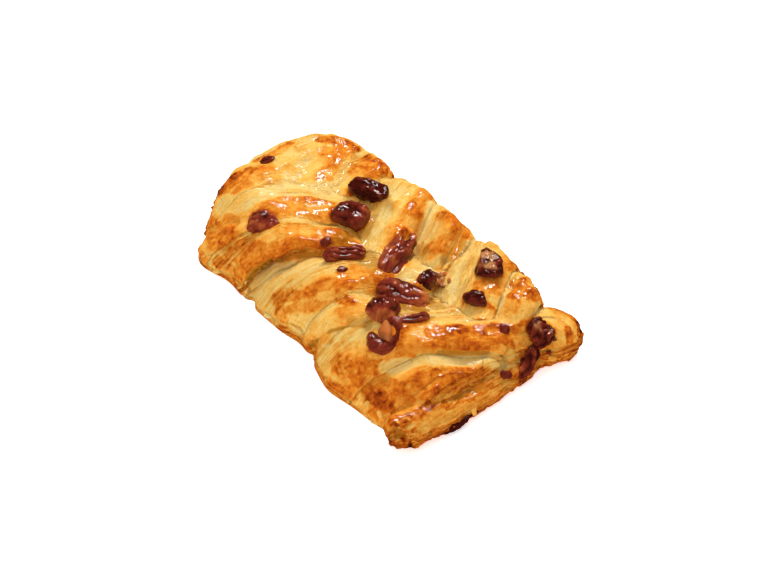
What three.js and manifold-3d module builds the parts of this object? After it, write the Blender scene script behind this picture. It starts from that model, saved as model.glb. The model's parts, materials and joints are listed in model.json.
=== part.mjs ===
// A braided pecan pastry: a sheet of layered dough whose side strips are folded over a filling in turn
// from the left and the right, with broken pecans baked into the glaze.
// Millimetres, +Z up. X runs along the pastry, from the end where the braid starts (-X) to the end where
// it finishes (+X), Y runs across it, and the origin lies under its middle, on the surface it stands on.
// Places below are given from the middle of the sheet of dough, and the whole is centred at the end.

import * as THREE from "three";
import { mergeVertices } from "three/addons/utils/BufferGeometryUtils.js";
import Module from "manifold-3d";

const wasm = await Module();
wasm.setup();

// Driving dimensions
const START_LENGTH = 69; // the sheet of dough, from its middle to the foot of its side walls
const FINISH_LENGTH = 64;
const HALF_WIDTH = 38;
const LEFT_WAIST = 1.8; // how far the left side is drawn in, at its waist and over its reach to either side
const LEFT_WAIST_AT = 2;
const LEFT_WAIST_REACH = 26;
const LEFT_BULGE = 2.4; // and how far it stands out where the last band of strips leaves it
const LEFT_BULGE_AT = 28;
const LEFT_BULGE_REACH = 9;
const START_POWER = 2.7; // how square the outline's corners are: 2 is an ellipse, and more is squarer
const START_LEFT_POWER = 3.05;
const FINISH_POWER = 8;
const CORE_TOP = 15; // the filling's height, where no strip covers it
const WALL_ENDS = 0.11; // how much of the half length the rounding of either end takes
const WALL_LEFT = 0.56; // and how much of the half width the rounding of each side takes
const WALL_RIGHT = 0.2;
const WALL_POWER = 3.1; // how square that rounding is
const LEFT_POWER = 1.55; // and on the left, where the strips slope down to the table
const FOOT = 1; // how far the wall runs on below the table, where it is trimmed off
const NOTCH = 2.2; // depth of the notch at the side between two bands of strips
const NOTCH_WIDTH = 2.2;
const DRAWN_IN_POWER = 4; // how close to the side the drawing in is felt
const LEFT_NOTCHES = [-22, 13];
const RIGHT_NOTCHES = [-35, 8.5, 51];

// The grid that the top is worked out on: its lines across the pastry bend to follow the strips
const CELLS_ALONG = 78;
const CELLS_ACROSS = 46;
const END_SHARE = 0.13; // share of it, from the middle out, that goes down the wall at the ends and the sides
const LEFT_SHARE = 0.56;
const RIGHT_SHARE = 0.22;
const CHEVRON = 0.5; // how far a line runs towards the finish for each mm in from the side
const CHEVRON_STILL = 19; // distance from the middle where it keeps its place

const ROOM = 400; // more than the pastry takes up, each way
const ABOVE = 100; // a height clear of its top

// A strip seen along its length: highest at the crown, lower at the side and at its end
const CROWN_SHARE = 0.42; // where along its run it is highest
const SHOULDER = 1.5; // how much lower it is at the side
const FALL_POWER = 1.4;
const TIP_ROUND = 0.12; // how fast it falls away past its end, in mm for each square mm

// A strip's section: a blunt nose on the side of the braid's finish, a long slope on the side of its start
const NOSE_DROP = 7;
const NOSE_POWER = 2.4; // 2 is a round nose, and more is squarer
const NOSE_FALL = 4; // slope below the nose
const SLOPE_DROP = 7;
const SLOPE_STRAIGHT = 0.15; // share of the slope's drop that is straight, the rest being a curve
const CREASE = 0.8; // rounding where two strips meet
const START_CREASE = 5; // and how much softer it is at the start, between these two distances from the middle
const START_CREASE_FROM = 30;
const START_CREASE_TO = 52;
const SWELL = 0.35; // unevenness of the baked dough, in each of three waves: radians a mm along X and Y, phase
const SWELL_WAVES = [
  [0.31, 0.17, 0],
  [-0.21, 0.53, 1],
  [0.47, 0, 2],
];

// Each strip: the side that it comes from, the place where it leaves that side, the place where it ends,
// the heights of its ridge at the crown and at the end, and how far it reaches towards either neighbour
const STRIPS = [
  { side: -1, root: [-57, -36], tip: [-61, 22], crown: 22, tipZ: 20.5, near: 14, far: 14 },
  { side: -1, root: [-55, -37], tip: [-18, 15], crown: 24, tipZ: 19, near: 7.5, far: 20 },
  { side: -1, root: [-33, -38], tip: [-6, 4], crown: 25, tipZ: 18.5, near: 6, far: 15 },
  { side: -1, root: [-3, -38], tip: [23, 19], crown: 23.5, tipZ: 16.5, near: 7, far: 24 },
  { side: -1, root: [10, -38], tip: [27, -8], crown: 22.5, tipZ: 18, near: 6, far: 12 },
  { side: -1, root: [30, -40], tip: [62, 22], crown: 25, tipZ: 17, near: 6.5, far: 22 },
  { side: -1, root: [49, -38], tip: [69, 12], crown: 21, tipZ: 9, near: 9, far: 16 },
  { side: 1, root: [-57, 36], tip: [-40, -2], crown: 22.5, tipZ: 19, near: 9, far: 26 },
  { side: 1, root: [-38, 37], tip: [-29, 8], crown: 23, tipZ: 19, near: 6.5, far: 15 },
  { side: 1, root: [-13, 38], tip: [3, 2], crown: 25, tipZ: 18.5, near: 6.5, far: 27 },
  { side: 1, root: [5, 38], tip: [17, 11], crown: 25, tipZ: 18.5, near: 6, far: 14 },
  { side: 1, root: [31, 38], tip: [51, 2], crown: 26.5, tipZ: 18.5, near: 6.5, far: 28 },
  { side: 1, root: [47, 38], tip: [57, 13], crown: 26, tipZ: 18, near: 6, far: 14 },
];

// The two pieces of the sheet that stand out at the finish: the rolled edge, and the nub of the last strip
const ROLLS = [
  { way: [[63, -38.5], [63, -12], [62.5, 29]], topStart: 14, topEnd: 8, radiusStart: 6.6, radiusEnd: 4.5 },
  { way: [[52, 20], [59, 29], [63, 42]], topStart: 19, topEnd: 14, radiusStart: 10, radiusEnd: 8 },
];
const ROLL_SIDES = 16;
const ROLL_RINGS = 14;
const ROLL_END_POWER = 3.2;

// Broken pecans, each a piece of its own: place in plan, heading of its length in degrees from +X, length,
// width and height, and for the one that curls, through how many degrees
const PECANS = [
  { at: [-22.8, 17.8], heading: 13, size: [16, 10, 8] },
  { at: [-17.6, 5.6], heading: 20, size: [13.5, 10.5, 8] },
  { at: [-36, -20], heading: 45, size: [12.5, 9, 6] },
  { at: [-2.2, -8.8], heading: 66, size: [15, 6, 6] },
  { at: [6.4, 8.2], heading: -62, size: [21, 9, 7] },
  { at: [22, -2.2], heading: 29, size: [20, 9.5, 7] },
  { at: [26.8, 6.6], heading: 100, size: [8.5, 7.5, 8.5] },
  { at: [28.3, -15.2], heading: 40, size: [11, 10, 9] },
  { at: [37.4, -22.2], heading: 52, size: [22, 5, 6.5], curl: 285 },
  { at: [38.5, -10.5], heading: 70, size: [10.5, 5, 4.5] },
  { at: [35.2, 25], heading: -20, size: [11, 9, 6.5] },
  { at: [43.3, 12.4], heading: 45, size: [8, 6.5, 5.5] },
  { at: [62.2, 25], heading: 10, size: [11, 9.5, 7] },
  { at: [65, 17.8], heading: -72, size: [12.5, 5, 5] },
];
const PECAN_SINK = 0.3; // share of a pecan's height that is pressed into the dough
const PECAN_GAP = 0.4; // between a pecan and the dough, or another pecan
const PECAN_SIDES = 10;
const PECAN_RINGS = 7;
const PECAN_END_POWER = 2.8; // how blunt its ends are
const PECAN_GROOVES = 4;
const PECAN_GROOVE_DEPTH = 0.14; // as a share of its thickness
const PECAN_LUMP = 0.12; // unevenness along it, as a share of its thickness
const PECAN_LUMP_WAVE = 7; // radians from end to end, and how much further on the next pecan starts
const PECAN_LUMP_STEP = 2.3;
const PECAN_FOOTING = 0.3; // where under it, as a share of its length or width, its slope is taken

// Small bits of nut, which are one with the dough
const BITS = [
  { at: [-58.8, -1.5], heading: 52, size: [6, 3.5, 3] },
  { at: [-12.6, -9.8], heading: 100, size: [4.5, 3.5, 3] },
  { at: [3, -14], heading: 60, size: [4.5, 2.6, 2.2] },
  { at: [57.3, 13.3], heading: 0, size: [4.5, 3.6, 3] },
  { at: [65.4, 7.5], heading: 40, size: [4.5, 3.6, 2.6] },
];
const BIT_SIDES = 6;
const BIT_RINGS = 4;

// A burnt drip of glaze at the foot of the finish, and the hollow in the open end of the rolled edge
const DRIP = { at: [67.4, -16.5, 2.3], heading: 86, size: [11, 3.6, 4.4] };
const HOLLOW = { at: [63, -39, 6.8], heading: 88, size: [10, 8, 7] };
const LUMP_SIDES = 8;
const LUMP_RINGS = 5;
const MERGE_WITHIN = 1e-4;

const DOUGH = new THREE.MeshStandardMaterial({ color: 0xe0a548, roughness: 0.35, metalness: 0 });
const PECAN = new THREE.MeshStandardMaterial({ color: 0x5a2415, roughness: 0.3, metalness: 0 });

// A closed three.js geometry as a solid that can be joined and cut
function solidOf(geometry) {
  const bare = geometry.clone();
  bare.deleteAttribute("normal");
  bare.deleteAttribute("uv");
  const merged = mergeVertices(bare, MERGE_WITHIN);
  return new wasm.Manifold(
    new wasm.Mesh({
      numProp: 3,
      vertProperties: merged.attributes.position.array,
      triVerts: new Uint32Array(merged.index.array),
    }),
  );
}

// A solid as a three.js geometry
function geometryOf(solid) {
  const mesh = solid.getMesh();
  const geometry = new THREE.BufferGeometry();
  geometry.setAttribute("position", new THREE.BufferAttribute(new Float32Array(mesh.vertProperties), 3));
  geometry.setIndex(new THREE.BufferAttribute(new Uint32Array(mesh.triVerts), 1));
  geometry.computeVertexNormals();
  return geometry;
}

// A ball whose every point is moved: shape gets the share of the way from pole to pole and the angle round
function shapedBall(sides, rings, shape) {
  const geometry = new THREE.SphereGeometry(1, sides, rings);
  const position = geometry.attributes.position;
  for (let i = 0; i < position.count; i++) {
    const share = Math.acos(THREE.MathUtils.clamp(position.getY(i), -1, 1)) / Math.PI;
    const angle = Math.atan2(position.getZ(i), position.getX(i));
    position.setXYZ(i, ...shape(share, angle).toArray());
  }
  return geometry;
}

// How full a piece is along its length: 0 at both ends, 1 in the middle, blunter as power rises
const fullness = (share, power) => (1 - Math.abs(2 * share - 1) ** power) ** (1 / power);

// Slow unevenness of the baked dough
function unevenness(x, y) {
  const waves = SWELL_WAVES.map(([alongX, alongY, phase]) => Math.sin(alongX * x + alongY * y + phase));
  return SWELL * waves.reduce((sum, wave) => sum + wave);
}

// The higher of two surfaces, with the crease between them rounded
const softMax = (a, b, crease) => (a + b + Math.hypot(a - b, crease)) / 2;

// Height of a strip's ridge, from the side (0) to its end (1) and past it
function ridgeHeight({ crown, tipZ }, share, length) {
  if (share < CROWN_SHARE) {
    const back = 1 - Math.max(share, 0) / CROWN_SHARE;
    return crown - SHOULDER * back ** 2;
  }
  const on = (Math.min(share, 1) - CROWN_SHARE) / (1 - CROWN_SHARE);
  const past = Math.max(share - 1, 0) * length;
  return crown + (tipZ - crown) * on ** FALL_POWER - TIP_ROUND * past ** 2;
}

// How far below its ridge a strip's surface is, at a distance from the ridge towards the braid's start
function sectionDrop({ near, far }, distance) {
  if (distance > 0) {
    const t = distance / far;
    return SLOPE_DROP * (SLOPE_STRAIGHT * t + (1 - SLOPE_STRAIGHT) * t ** 2);
  }
  const t = Math.min(-distance / near, 1);
  return NOSE_DROP * (1 - (1 - t ** NOSE_POWER) ** (1 / NOSE_POWER)) + NOSE_FALL * Math.max(-distance - near, 0);
}

function stripTop(strip, x, y) {
  const [rootX, rootY] = strip.root;
  const run = new THREE.Vector2(...strip.tip).sub(new THREE.Vector2(rootX, rootY));
  const length = run.length();
  run.normalize();
  const along = (x - rootX) * run.x + (y - rootY) * run.y;
  const towardsStart = strip.side * ((x - rootX) * run.y - (y - rootY) * run.x);
  return ridgeHeight(strip, along / length, length) - sectionDrop(strip, towardsStart);
}

// Height of the dough's top at a place in plan
function topAt(x, y) {
  const softer = THREE.MathUtils.smoothstep(-x, START_CREASE_FROM, START_CREASE_TO) * (START_CREASE - CREASE);
  const top = STRIPS.reduce((high, strip) => softMax(high, stripTop(strip, x, y), CREASE + softer), CORE_TOP);
  return top - softer / 2 + unevenness(x, y);
}

// For a place on the grid from 0 to 1: the share of the way out from the middle, of the way down the wall,
// and of the height that is left there
function outAndDown(place, share, wall, power) {
  const flat = 1 - share;
  if (place <= flat) {
    return { out: (place / flat) * (1 - wall), down: 0, stand: 1 };
  }
  const down = Math.min((place - flat) / share, 1);
  const turn = (down * Math.PI) / 2;
  const out = 1 - wall + wall * Math.sin(turn) ** (2 / power);
  return { out, down, stand: Math.max(Math.cos(turn), 0) ** (2 / power) };
}

// A smooth hump: 1 at its place, and next to nothing past twice its reach
const hump = (x, place, reach) => Math.exp(-(((x - place) / reach) ** 2));

// How far the side is drawn in, between two bands of strips and along the left
function drawnInAt(x, y) {
  const places = y < 0 ? LEFT_NOTCHES : RIGHT_NOTCHES;
  const notch = NOTCH * Math.max(...places.map((place) => hump(x, place, NOTCH_WIDTH)));
  if (y >= 0) {
    return notch;
  }
  const waist = LEFT_WAIST * hump(x, LEFT_WAIST_AT, LEFT_WAIST_REACH);
  return notch + waist - LEFT_BULGE * hump(x, LEFT_BULGE_AT, LEFT_BULGE_REACH);
}

// A place on a square, from -1 to 1 each way, moved to its place in the pastry's outline
function planOf(squareX, squareY) {
  const reach = Math.max(Math.abs(squareX), Math.abs(squareY));
  const onEnd = Math.abs(squareX) >= Math.abs(squareY);
  const facing = Math.sign(onEnd ? squareX : squareY) || 1;
  const turn = reach === 0 ? 0 : (Math.PI / 4) * (onEnd ? squareY / squareX : squareX / squareY);
  const cosine = facing * (onEnd ? Math.cos(turn) : Math.sin(turn));
  const sine = facing * (onEnd ? Math.sin(turn) : Math.cos(turn));
  const startPower = THREE.MathUtils.lerp(START_LEFT_POWER, START_POWER, (1 + sine) / 2);
  const power = THREE.MathUtils.lerp(startPower, FINISH_POWER, (1 + cosine) / 2);
  const stretch = reach * (Math.abs(cosine) ** power + Math.abs(sine) ** power) ** (-1 / power);
  const straightX = cosine * stretch;
  const y = HALF_WIDTH * sine * stretch;
  const shift = CHEVRON * (CHEVRON_STILL - Math.abs(y)) * (1 - straightX ** 2);
  const x = straightX * (straightX < 0 ? START_LENGTH : FINISH_LENGTH) + shift;
  return { x, y: y - Math.sign(y) * drawnInAt(x, y) * Math.abs(sine * stretch) ** DRAWN_IN_POWER };
}

// The dough as one closed surface: a square grid drawn out to the outline, its rim turned down as the wall
function braidGeometry() {
  const geometry = new THREE.BoxGeometry(2, 2, 2, CELLS_ALONG, CELLS_ACROSS, 1);
  const position = geometry.attributes.position;
  for (let i = 0; i < position.count; i++) {
    const u = position.getX(i);
    const v = position.getY(i);
    const along = outAndDown(Math.abs(u), END_SHARE, WALL_ENDS, WALL_POWER);
    const side = v < 0 ? [LEFT_SHARE, WALL_LEFT, LEFT_POWER] : [RIGHT_SHARE, WALL_RIGHT, WALL_POWER];
    const across = outAndDown(Math.abs(v), ...side);
    const down = Math.max(along.down, across.down);
    const stand = Math.min(along.stand, across.stand);
    const { x, y } = planOf(Math.sign(u) * along.out, Math.sign(v) * across.out);
    position.setXYZ(i, x, y, position.getZ(i) > 0 ? topAt(x, y) * stand - FOOT * down : -2 * FOOT);
  }
  return geometry;
}

// A piece of dough swept along a line, its thickness changing from end to end
function rollGeometry({ way, topStart, topEnd, radiusStart, radiusEnd }) {
  const [start, middle, end] = way.map(([x, y]) => new THREE.Vector3(x, y, 0));
  const curve = new THREE.CatmullRomCurve3([start, middle, end], false, "catmullrom");
  const up = new THREE.Vector3(0, 0, 1);
  return shapedBall(ROLL_SIDES, ROLL_RINGS, (share, angle) => {
    const out = up.clone().cross(curve.getTangent(share));
    const radius = THREE.MathUtils.lerp(radiusStart, radiusEnd, share);
    const thickness = radius * fullness(share, ROLL_END_POWER);
    return curve
      .getPoint(share)
      .addScaledVector(out, thickness * Math.cos(angle))
      .addScaledVector(up, THREE.MathUtils.lerp(topStart, topEnd, share) - radius)
      .addScaledVector(up, thickness * Math.sin(angle));
  });
}

// Everything above the surface that the pastry stands on
function aboveTable() {
  return solidOf(new THREE.BoxGeometry(ROOM, ROOM, ROOM).translate(0, 0, ROOM / 2));
}

// The largest body of a solid, without the scraps that a cut leaves loose
function largestBody(solid) {
  return solid.decompose().reduce((best, body) => (body.volume() > best.volume() ? body : best));
}

// A piece of nut about its own middle, its length along X: grooved lengthwise, and bent in plan where it curls
function nutGeometry({ size, curl = 0 }, seed, sides, rings, grow) {
  const [length, width, height] = size.map((value) => value + 2 * grow);
  const radius = curl === 0 ? 0 : length / THREE.MathUtils.degToRad(curl);
  return shapedBall(sides, rings, (share, angle) => {
    const groove = 1 - PECAN_GROOVE_DEPTH * (0.5 + 0.5 * Math.cos(PECAN_GROOVES * angle + seed));
    const lump = 1 + PECAN_LUMP * Math.sin(PECAN_LUMP_WAVE * share + PECAN_LUMP_STEP * seed);
    const full = fullness(share, PECAN_END_POWER) * groove * lump;
    const along = (share - 0.5) * length;
    const across = (width / 2) * full * Math.cos(angle);
    const up = (height / 2) * full * Math.sin(angle);
    if (curl === 0) {
      return new THREE.Vector3(along, across, up);
    }
    const turn = along / radius;
    return new THREE.Vector3((radius - across) * Math.sin(turn), (across - radius) * Math.cos(turn), up);
  });
}

// How a piece lies on the dough: its place, turned to its heading and tilted to the slope that it rests on
function layOn(surface, { at: [x, y], heading, size: [length, width, height] }) {
  const turn = THREE.MathUtils.degToRad(heading);
  const down = new THREE.Vector3(0, 0, -1);
  const touch = (alongShare, acrossShare) => {
    const along = alongShare * PECAN_FOOTING * length;
    const across = acrossShare * PECAN_FOOTING * width;
    const from = new THREE.Vector3(
      x + along * Math.cos(turn) - across * Math.sin(turn),
      y + along * Math.sin(turn) + across * Math.cos(turn),
      ABOVE,
    );
    return new THREE.Raycaster(from, down).intersectObject(surface)[0].point;
  };
  const [front, back, left, right] = [touch(1, 0), touch(-1, 0), touch(0, 1), touch(0, -1)];
  const middle = new THREE.Vector3().add(front).add(back).add(left).add(right).divideScalar(4);
  const lengthwise = front.clone().sub(back).normalize();
  const up = lengthwise.clone().cross(left.clone().sub(right)).normalize();
  middle.addScaledVector(up, height * (0.5 - PECAN_SINK));
  return new THREE.Matrix4().makeBasis(lengthwise, up.clone().cross(lengthwise), up).setPosition(middle);
}

function meshOf(name, solid, material) {
  const mesh = new THREE.Mesh(geometryOf(solid), material);
  mesh.name = name;
  return mesh;
}

// A small lump turned to its heading about its own place
function lumpSolid(lump, seed) {
  const geometry = nutGeometry(lump, seed, LUMP_SIDES, LUMP_RINGS, 0);
  return solidOf(geometry.rotateZ(THREE.MathUtils.degToRad(lump.heading)).translate(...lump.at));
}

function bareDough() {
  const pieces = [braidGeometry(), ...ROLLS.map(rollGeometry)].map(solidOf);
  const whole = pieces.reduce((joined, piece) => joined.add(piece)).add(lumpSolid(DRIP, 1));
  return whole.subtract(lumpSolid(HOLLOW, 2)).intersect(aboveTable());
}

function buildPastry() {
  let dough = bareDough();
  const surface = new THREE.Mesh(geometryOf(dough), DOUGH);
  const pastry = new THREE.Group();
  const laid = [];
  PECANS.forEach((pecan, i) => {
    const place = layOn(surface, pecan);
    const nut = (grow) =>
      solidOf(nutGeometry(pecan, i, PECAN_SIDES, PECAN_RINGS, grow).applyMatrix4(place));
    const whole = laid.reduce((left, other) => left.subtract(other), nut(0)).intersect(aboveTable());
    pastry.add(meshOf(`pecan_${String(i + 1).padStart(2, "0")}`, largestBody(whole), PECAN));
    laid.push(nut(PECAN_GAP));
  });
  BITS.forEach((bit, i) => {
    const geometry = nutGeometry(bit, i, BIT_SIDES, BIT_RINGS, 0).applyMatrix4(layOn(surface, bit));
    dough = dough.add(solidOf(geometry));
  });
  dough = laid.reduce((left, nut) => left.subtract(nut), dough);
  pastry.add(meshOf("dough", largestBody(dough), DOUGH));
  return pastry;
}

// Moves a group so that the middle of its plan lies at the origin
function centred(group) {
  const middle = new THREE.Box3().setFromObject(group).getCenter(new THREE.Vector3());
  group.position.set(-middle.x, -middle.y, 0);
  return group;
}

export default centred(buildPastry());
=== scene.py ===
"""A glazed braided pastry with pecans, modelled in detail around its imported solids."""

import json
import math
from collections import namedtuple

import bpy
import numpy as np
from bpy.props import FloatProperty, FloatVectorProperty, PointerProperty
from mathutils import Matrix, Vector, kdtree

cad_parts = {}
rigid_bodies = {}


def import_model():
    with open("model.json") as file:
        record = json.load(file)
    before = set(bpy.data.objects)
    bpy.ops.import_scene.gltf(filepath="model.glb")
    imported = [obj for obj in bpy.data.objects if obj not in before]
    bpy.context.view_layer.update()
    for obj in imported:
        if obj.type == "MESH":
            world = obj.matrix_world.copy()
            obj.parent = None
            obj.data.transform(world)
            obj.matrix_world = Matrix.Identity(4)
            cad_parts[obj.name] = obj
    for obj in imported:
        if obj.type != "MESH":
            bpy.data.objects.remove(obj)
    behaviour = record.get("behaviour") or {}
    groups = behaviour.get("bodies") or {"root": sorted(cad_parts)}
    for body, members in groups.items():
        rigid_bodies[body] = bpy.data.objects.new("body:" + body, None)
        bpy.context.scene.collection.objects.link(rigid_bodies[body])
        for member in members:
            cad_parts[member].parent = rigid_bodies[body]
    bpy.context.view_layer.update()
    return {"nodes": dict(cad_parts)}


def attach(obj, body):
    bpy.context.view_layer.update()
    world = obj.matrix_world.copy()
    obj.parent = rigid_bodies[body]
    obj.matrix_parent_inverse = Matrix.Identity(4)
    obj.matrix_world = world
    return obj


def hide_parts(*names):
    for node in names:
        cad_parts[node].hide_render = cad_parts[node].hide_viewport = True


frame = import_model()

bl_info = {
    "name": "Braided Pecan Pastry",
    "version": (1, 0, 0),
    "blender": (4, 5, 0),
    "location": "View3D > Sidebar > Pastry",
    "description": "Models a glazed braided pastry with pecans around its solids",
    "category": "Mesh",
}

# Places are worked out in millimetres from the middle of the sheet of dough, and the finished mesh is then
# moved by MIDDLE and brought to metres
MM = 0.001
MIDDLE = (0.145, 1.265)

# Outline and walls of the sheet of dough
START_POWER = 2.7
START_LEFT_POWER = 2.85
FINISH_POWER = 8
LEFT_WAIST = 1.8
LEFT_WAIST_AT = 2
LEFT_WAIST_REACH = 26
LEFT_BULGE = 2.4
LEFT_BULGE_AT = 28
LEFT_BULGE_REACH = 9
START_BULGE = 0.8
START_BULGE_AT = -45
START_BULGE_REACH = 9
RIGHT_BULGE = 1
RIGHT_BULGE_AT = 28
RIGHT_BULGE_REACH = 20
WALL_ENDS = 0.11
WALL_LEFT = 0.56
WALL_RIGHT = 0.2
WALL_POWER = 3.1
LEFT_POWER = 1.55
FOOT = 1
SKIRT = 3  # how far the walls run on below the foot, before they are cut off flat
NOTCH = 2.2
NOTCH_WIDTH = 2.2
DRAWN_IN_POWER = 4
LEFT_NOTCHES = (-22, 13)
RIGHT_NOTCHES = (-29.5, 8.5, 51)

# Places where the dough is drawn out of its even outline: the place, how far along X and Y, and the reach
Draw = namedtuple("Draw", "place shift reach")
DRAWS = (
    Draw((-50, -36), (-1.6, -2.6), 9),
    Draw((-62, 1), (-2.2, 0.4), 9),
    Draw((-62, -24), (1.4, 0.4), 7),
    Draw((-45, 31), (-1.2, 1.3), 6),
    Draw((-28.5, 33), (0.5, -1.8), 4),
    Draw((-36, 34), (0, -1.2), 5),
    Draw((-36, -37), (-0.5, 1.6), 9),
    Draw((6, -36), (-0.5, 1.9), 7),
    Draw((5, 38), (-0.6, -0.8), 4),
)

# The grid that the top is worked out on, the share of it that goes down each wall, the cells that the
# finished dough is made of, and how often they are smoothed
CELLS_ALONG = 320
CELLS_ACROSS = 250
END_WALL_SHARE = 0.24
LEFT_WALL_SHARE = 0.62
RIGHT_WALL_SHARE = 0.34
VOXEL = 0.51
SMOOTH_ROUNDS = 2

# How far the grid is drawn to a point along the middle, where it stays still, and the slant of its start
CHEVRON = 0.5
CHEVRON_STILL = 19
START_SLANT = 0.09
START_SLANT_STILL = -5
START_SLANT_FROM = -20
START_SLANT_SPAN = (-38, -66)

# A strip along its length and in section
CROWN_SHARE = 0.42
SHOULDER = 1.5
FALL_POWER = 1.4
TIP_ROUND = 0.2
SPREAD_SHARE = 0.5
NOSE_DROP = 7
NOSE_POWER = 2.4
NOSE_FALL = 4
SLOPE_DROP = 7
SLOPE_STRAIGHT = 0.15
CREASE = 0.8
START_CREASE = 5
START_CREASE_SPAN = (-24, -46)
SWELL = 0.35
SWELL_WAVES = ((0.31, 0.17, 0), (-0.21, 0.53, 1), (0.47, 0, 2))
LIP_BLEND = 0.8  # how softly one strip's undercut gives way to its neighbour
LIP_FROM = 0.35  # how far down the nose the undercut starts
LIP_OPENS = 0.2  # the share of a strip's length over which its undercut opens

# Each strip: its side, where it leaves that side and where it ends, the heights of its ridge at the crown
# and at the end, its reach towards either neighbour, how far its nose overhangs the next strip, the share
# of its length from which it does, and how much wider it is at its root
Strip = namedtuple("Strip", "side root tip crown end near far undercut opens spread")
STRIPS = (
    Strip(-1, (-57, -36), (-61, 22), 23.4, 20.2, 14, 14, 0, 0, 0),
    Strip(-1, (-55, -37), (-18, 15), 24, 19, 7.5, 20, 0.5, 0, 0),
    Strip(-1, (-35, -38), (-7.6, 4), 25, 18.5, 6, 14, 4.8, 0, 0),
    Strip(-1, (-3, -38), (23, 19), 23.5, 16.5, 7, 18.5, 0.5, 0, 0),
    Strip(-1, (10, -38), (27, -8), 22.3, 18, 6, 19, 3, 0, 0),
    Strip(-1, (30, -40), (62, 22), 25, 17, 6.5, 22, 2.6, 0.6, 0),
    Strip(-1, (42, -40), (62, -2), 20.8, 15, 8, 21, 0.4, 0, 0),
    Strip(-1, (49, -38), (69, 12), 18.6, 9, 8, 22, 0.6, 0, 0),
    Strip(1, (-57, 36), (-40, -2), 23.5, 19.5, 9, 26, 0.3, 0, 0),
    Strip(1, (-38, 37), (-29, 8), 23.4, 19, 6.5, 15, 1.2, 0, 0),
    Strip(1, (-13, 38), (3, 2), 25, 18.5, 6.5, 22, 0.6, 0, 0),
    Strip(1, (5, 38), (15, 16), 25.6, 20, 5.5, 9, 2, 0, 0.9),
    Strip(1, (9, 40), (21, 20), 22.3, 18.5, 4, 9, 0.6, 0, 0),
    Strip(1, (31, 38), (51, 2), 26.5, 18.5, 6.5, 15, 0.8, 0, 0.2),
    Strip(1, (47, 38), (57, 13), 26, 18, 6, 14, 1.5, 0, 0.3),
)

START_STRIPS = (0, 8, 9)  # these run into each other, with one grain
STRIP_APART = 30.0  # sets the grain of each strip apart from the others

# The rolled edge and the nub of the last strip: their line in plan through three places, and the heights of
# their tops and their radii there
Roll = namedtuple("Roll", "way tops radii")
ROLLS = (
    Roll(((62, -39.8), (64, -12), (62.5, 29)), (15.8, 8.8, 8), (7.4, 5.1, 4.5)),
    Roll(((50.5, 21), (58.5, 30), (64, 42)), (19.6, 17, 14.4), (10.6, 10, 8.8)),
)
ROLL_SIDES = 72
ROLL_RINGS = 84
ROLL_END_POWER = 3.2
HOLLOW_PLACE = (66.2, -39.6, 9.4)
HOLLOW_SIZE = (8.5, 9.5, 8)
HOLLOW_LUMPS = ((0.16, 0.25, 0),)

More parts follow.
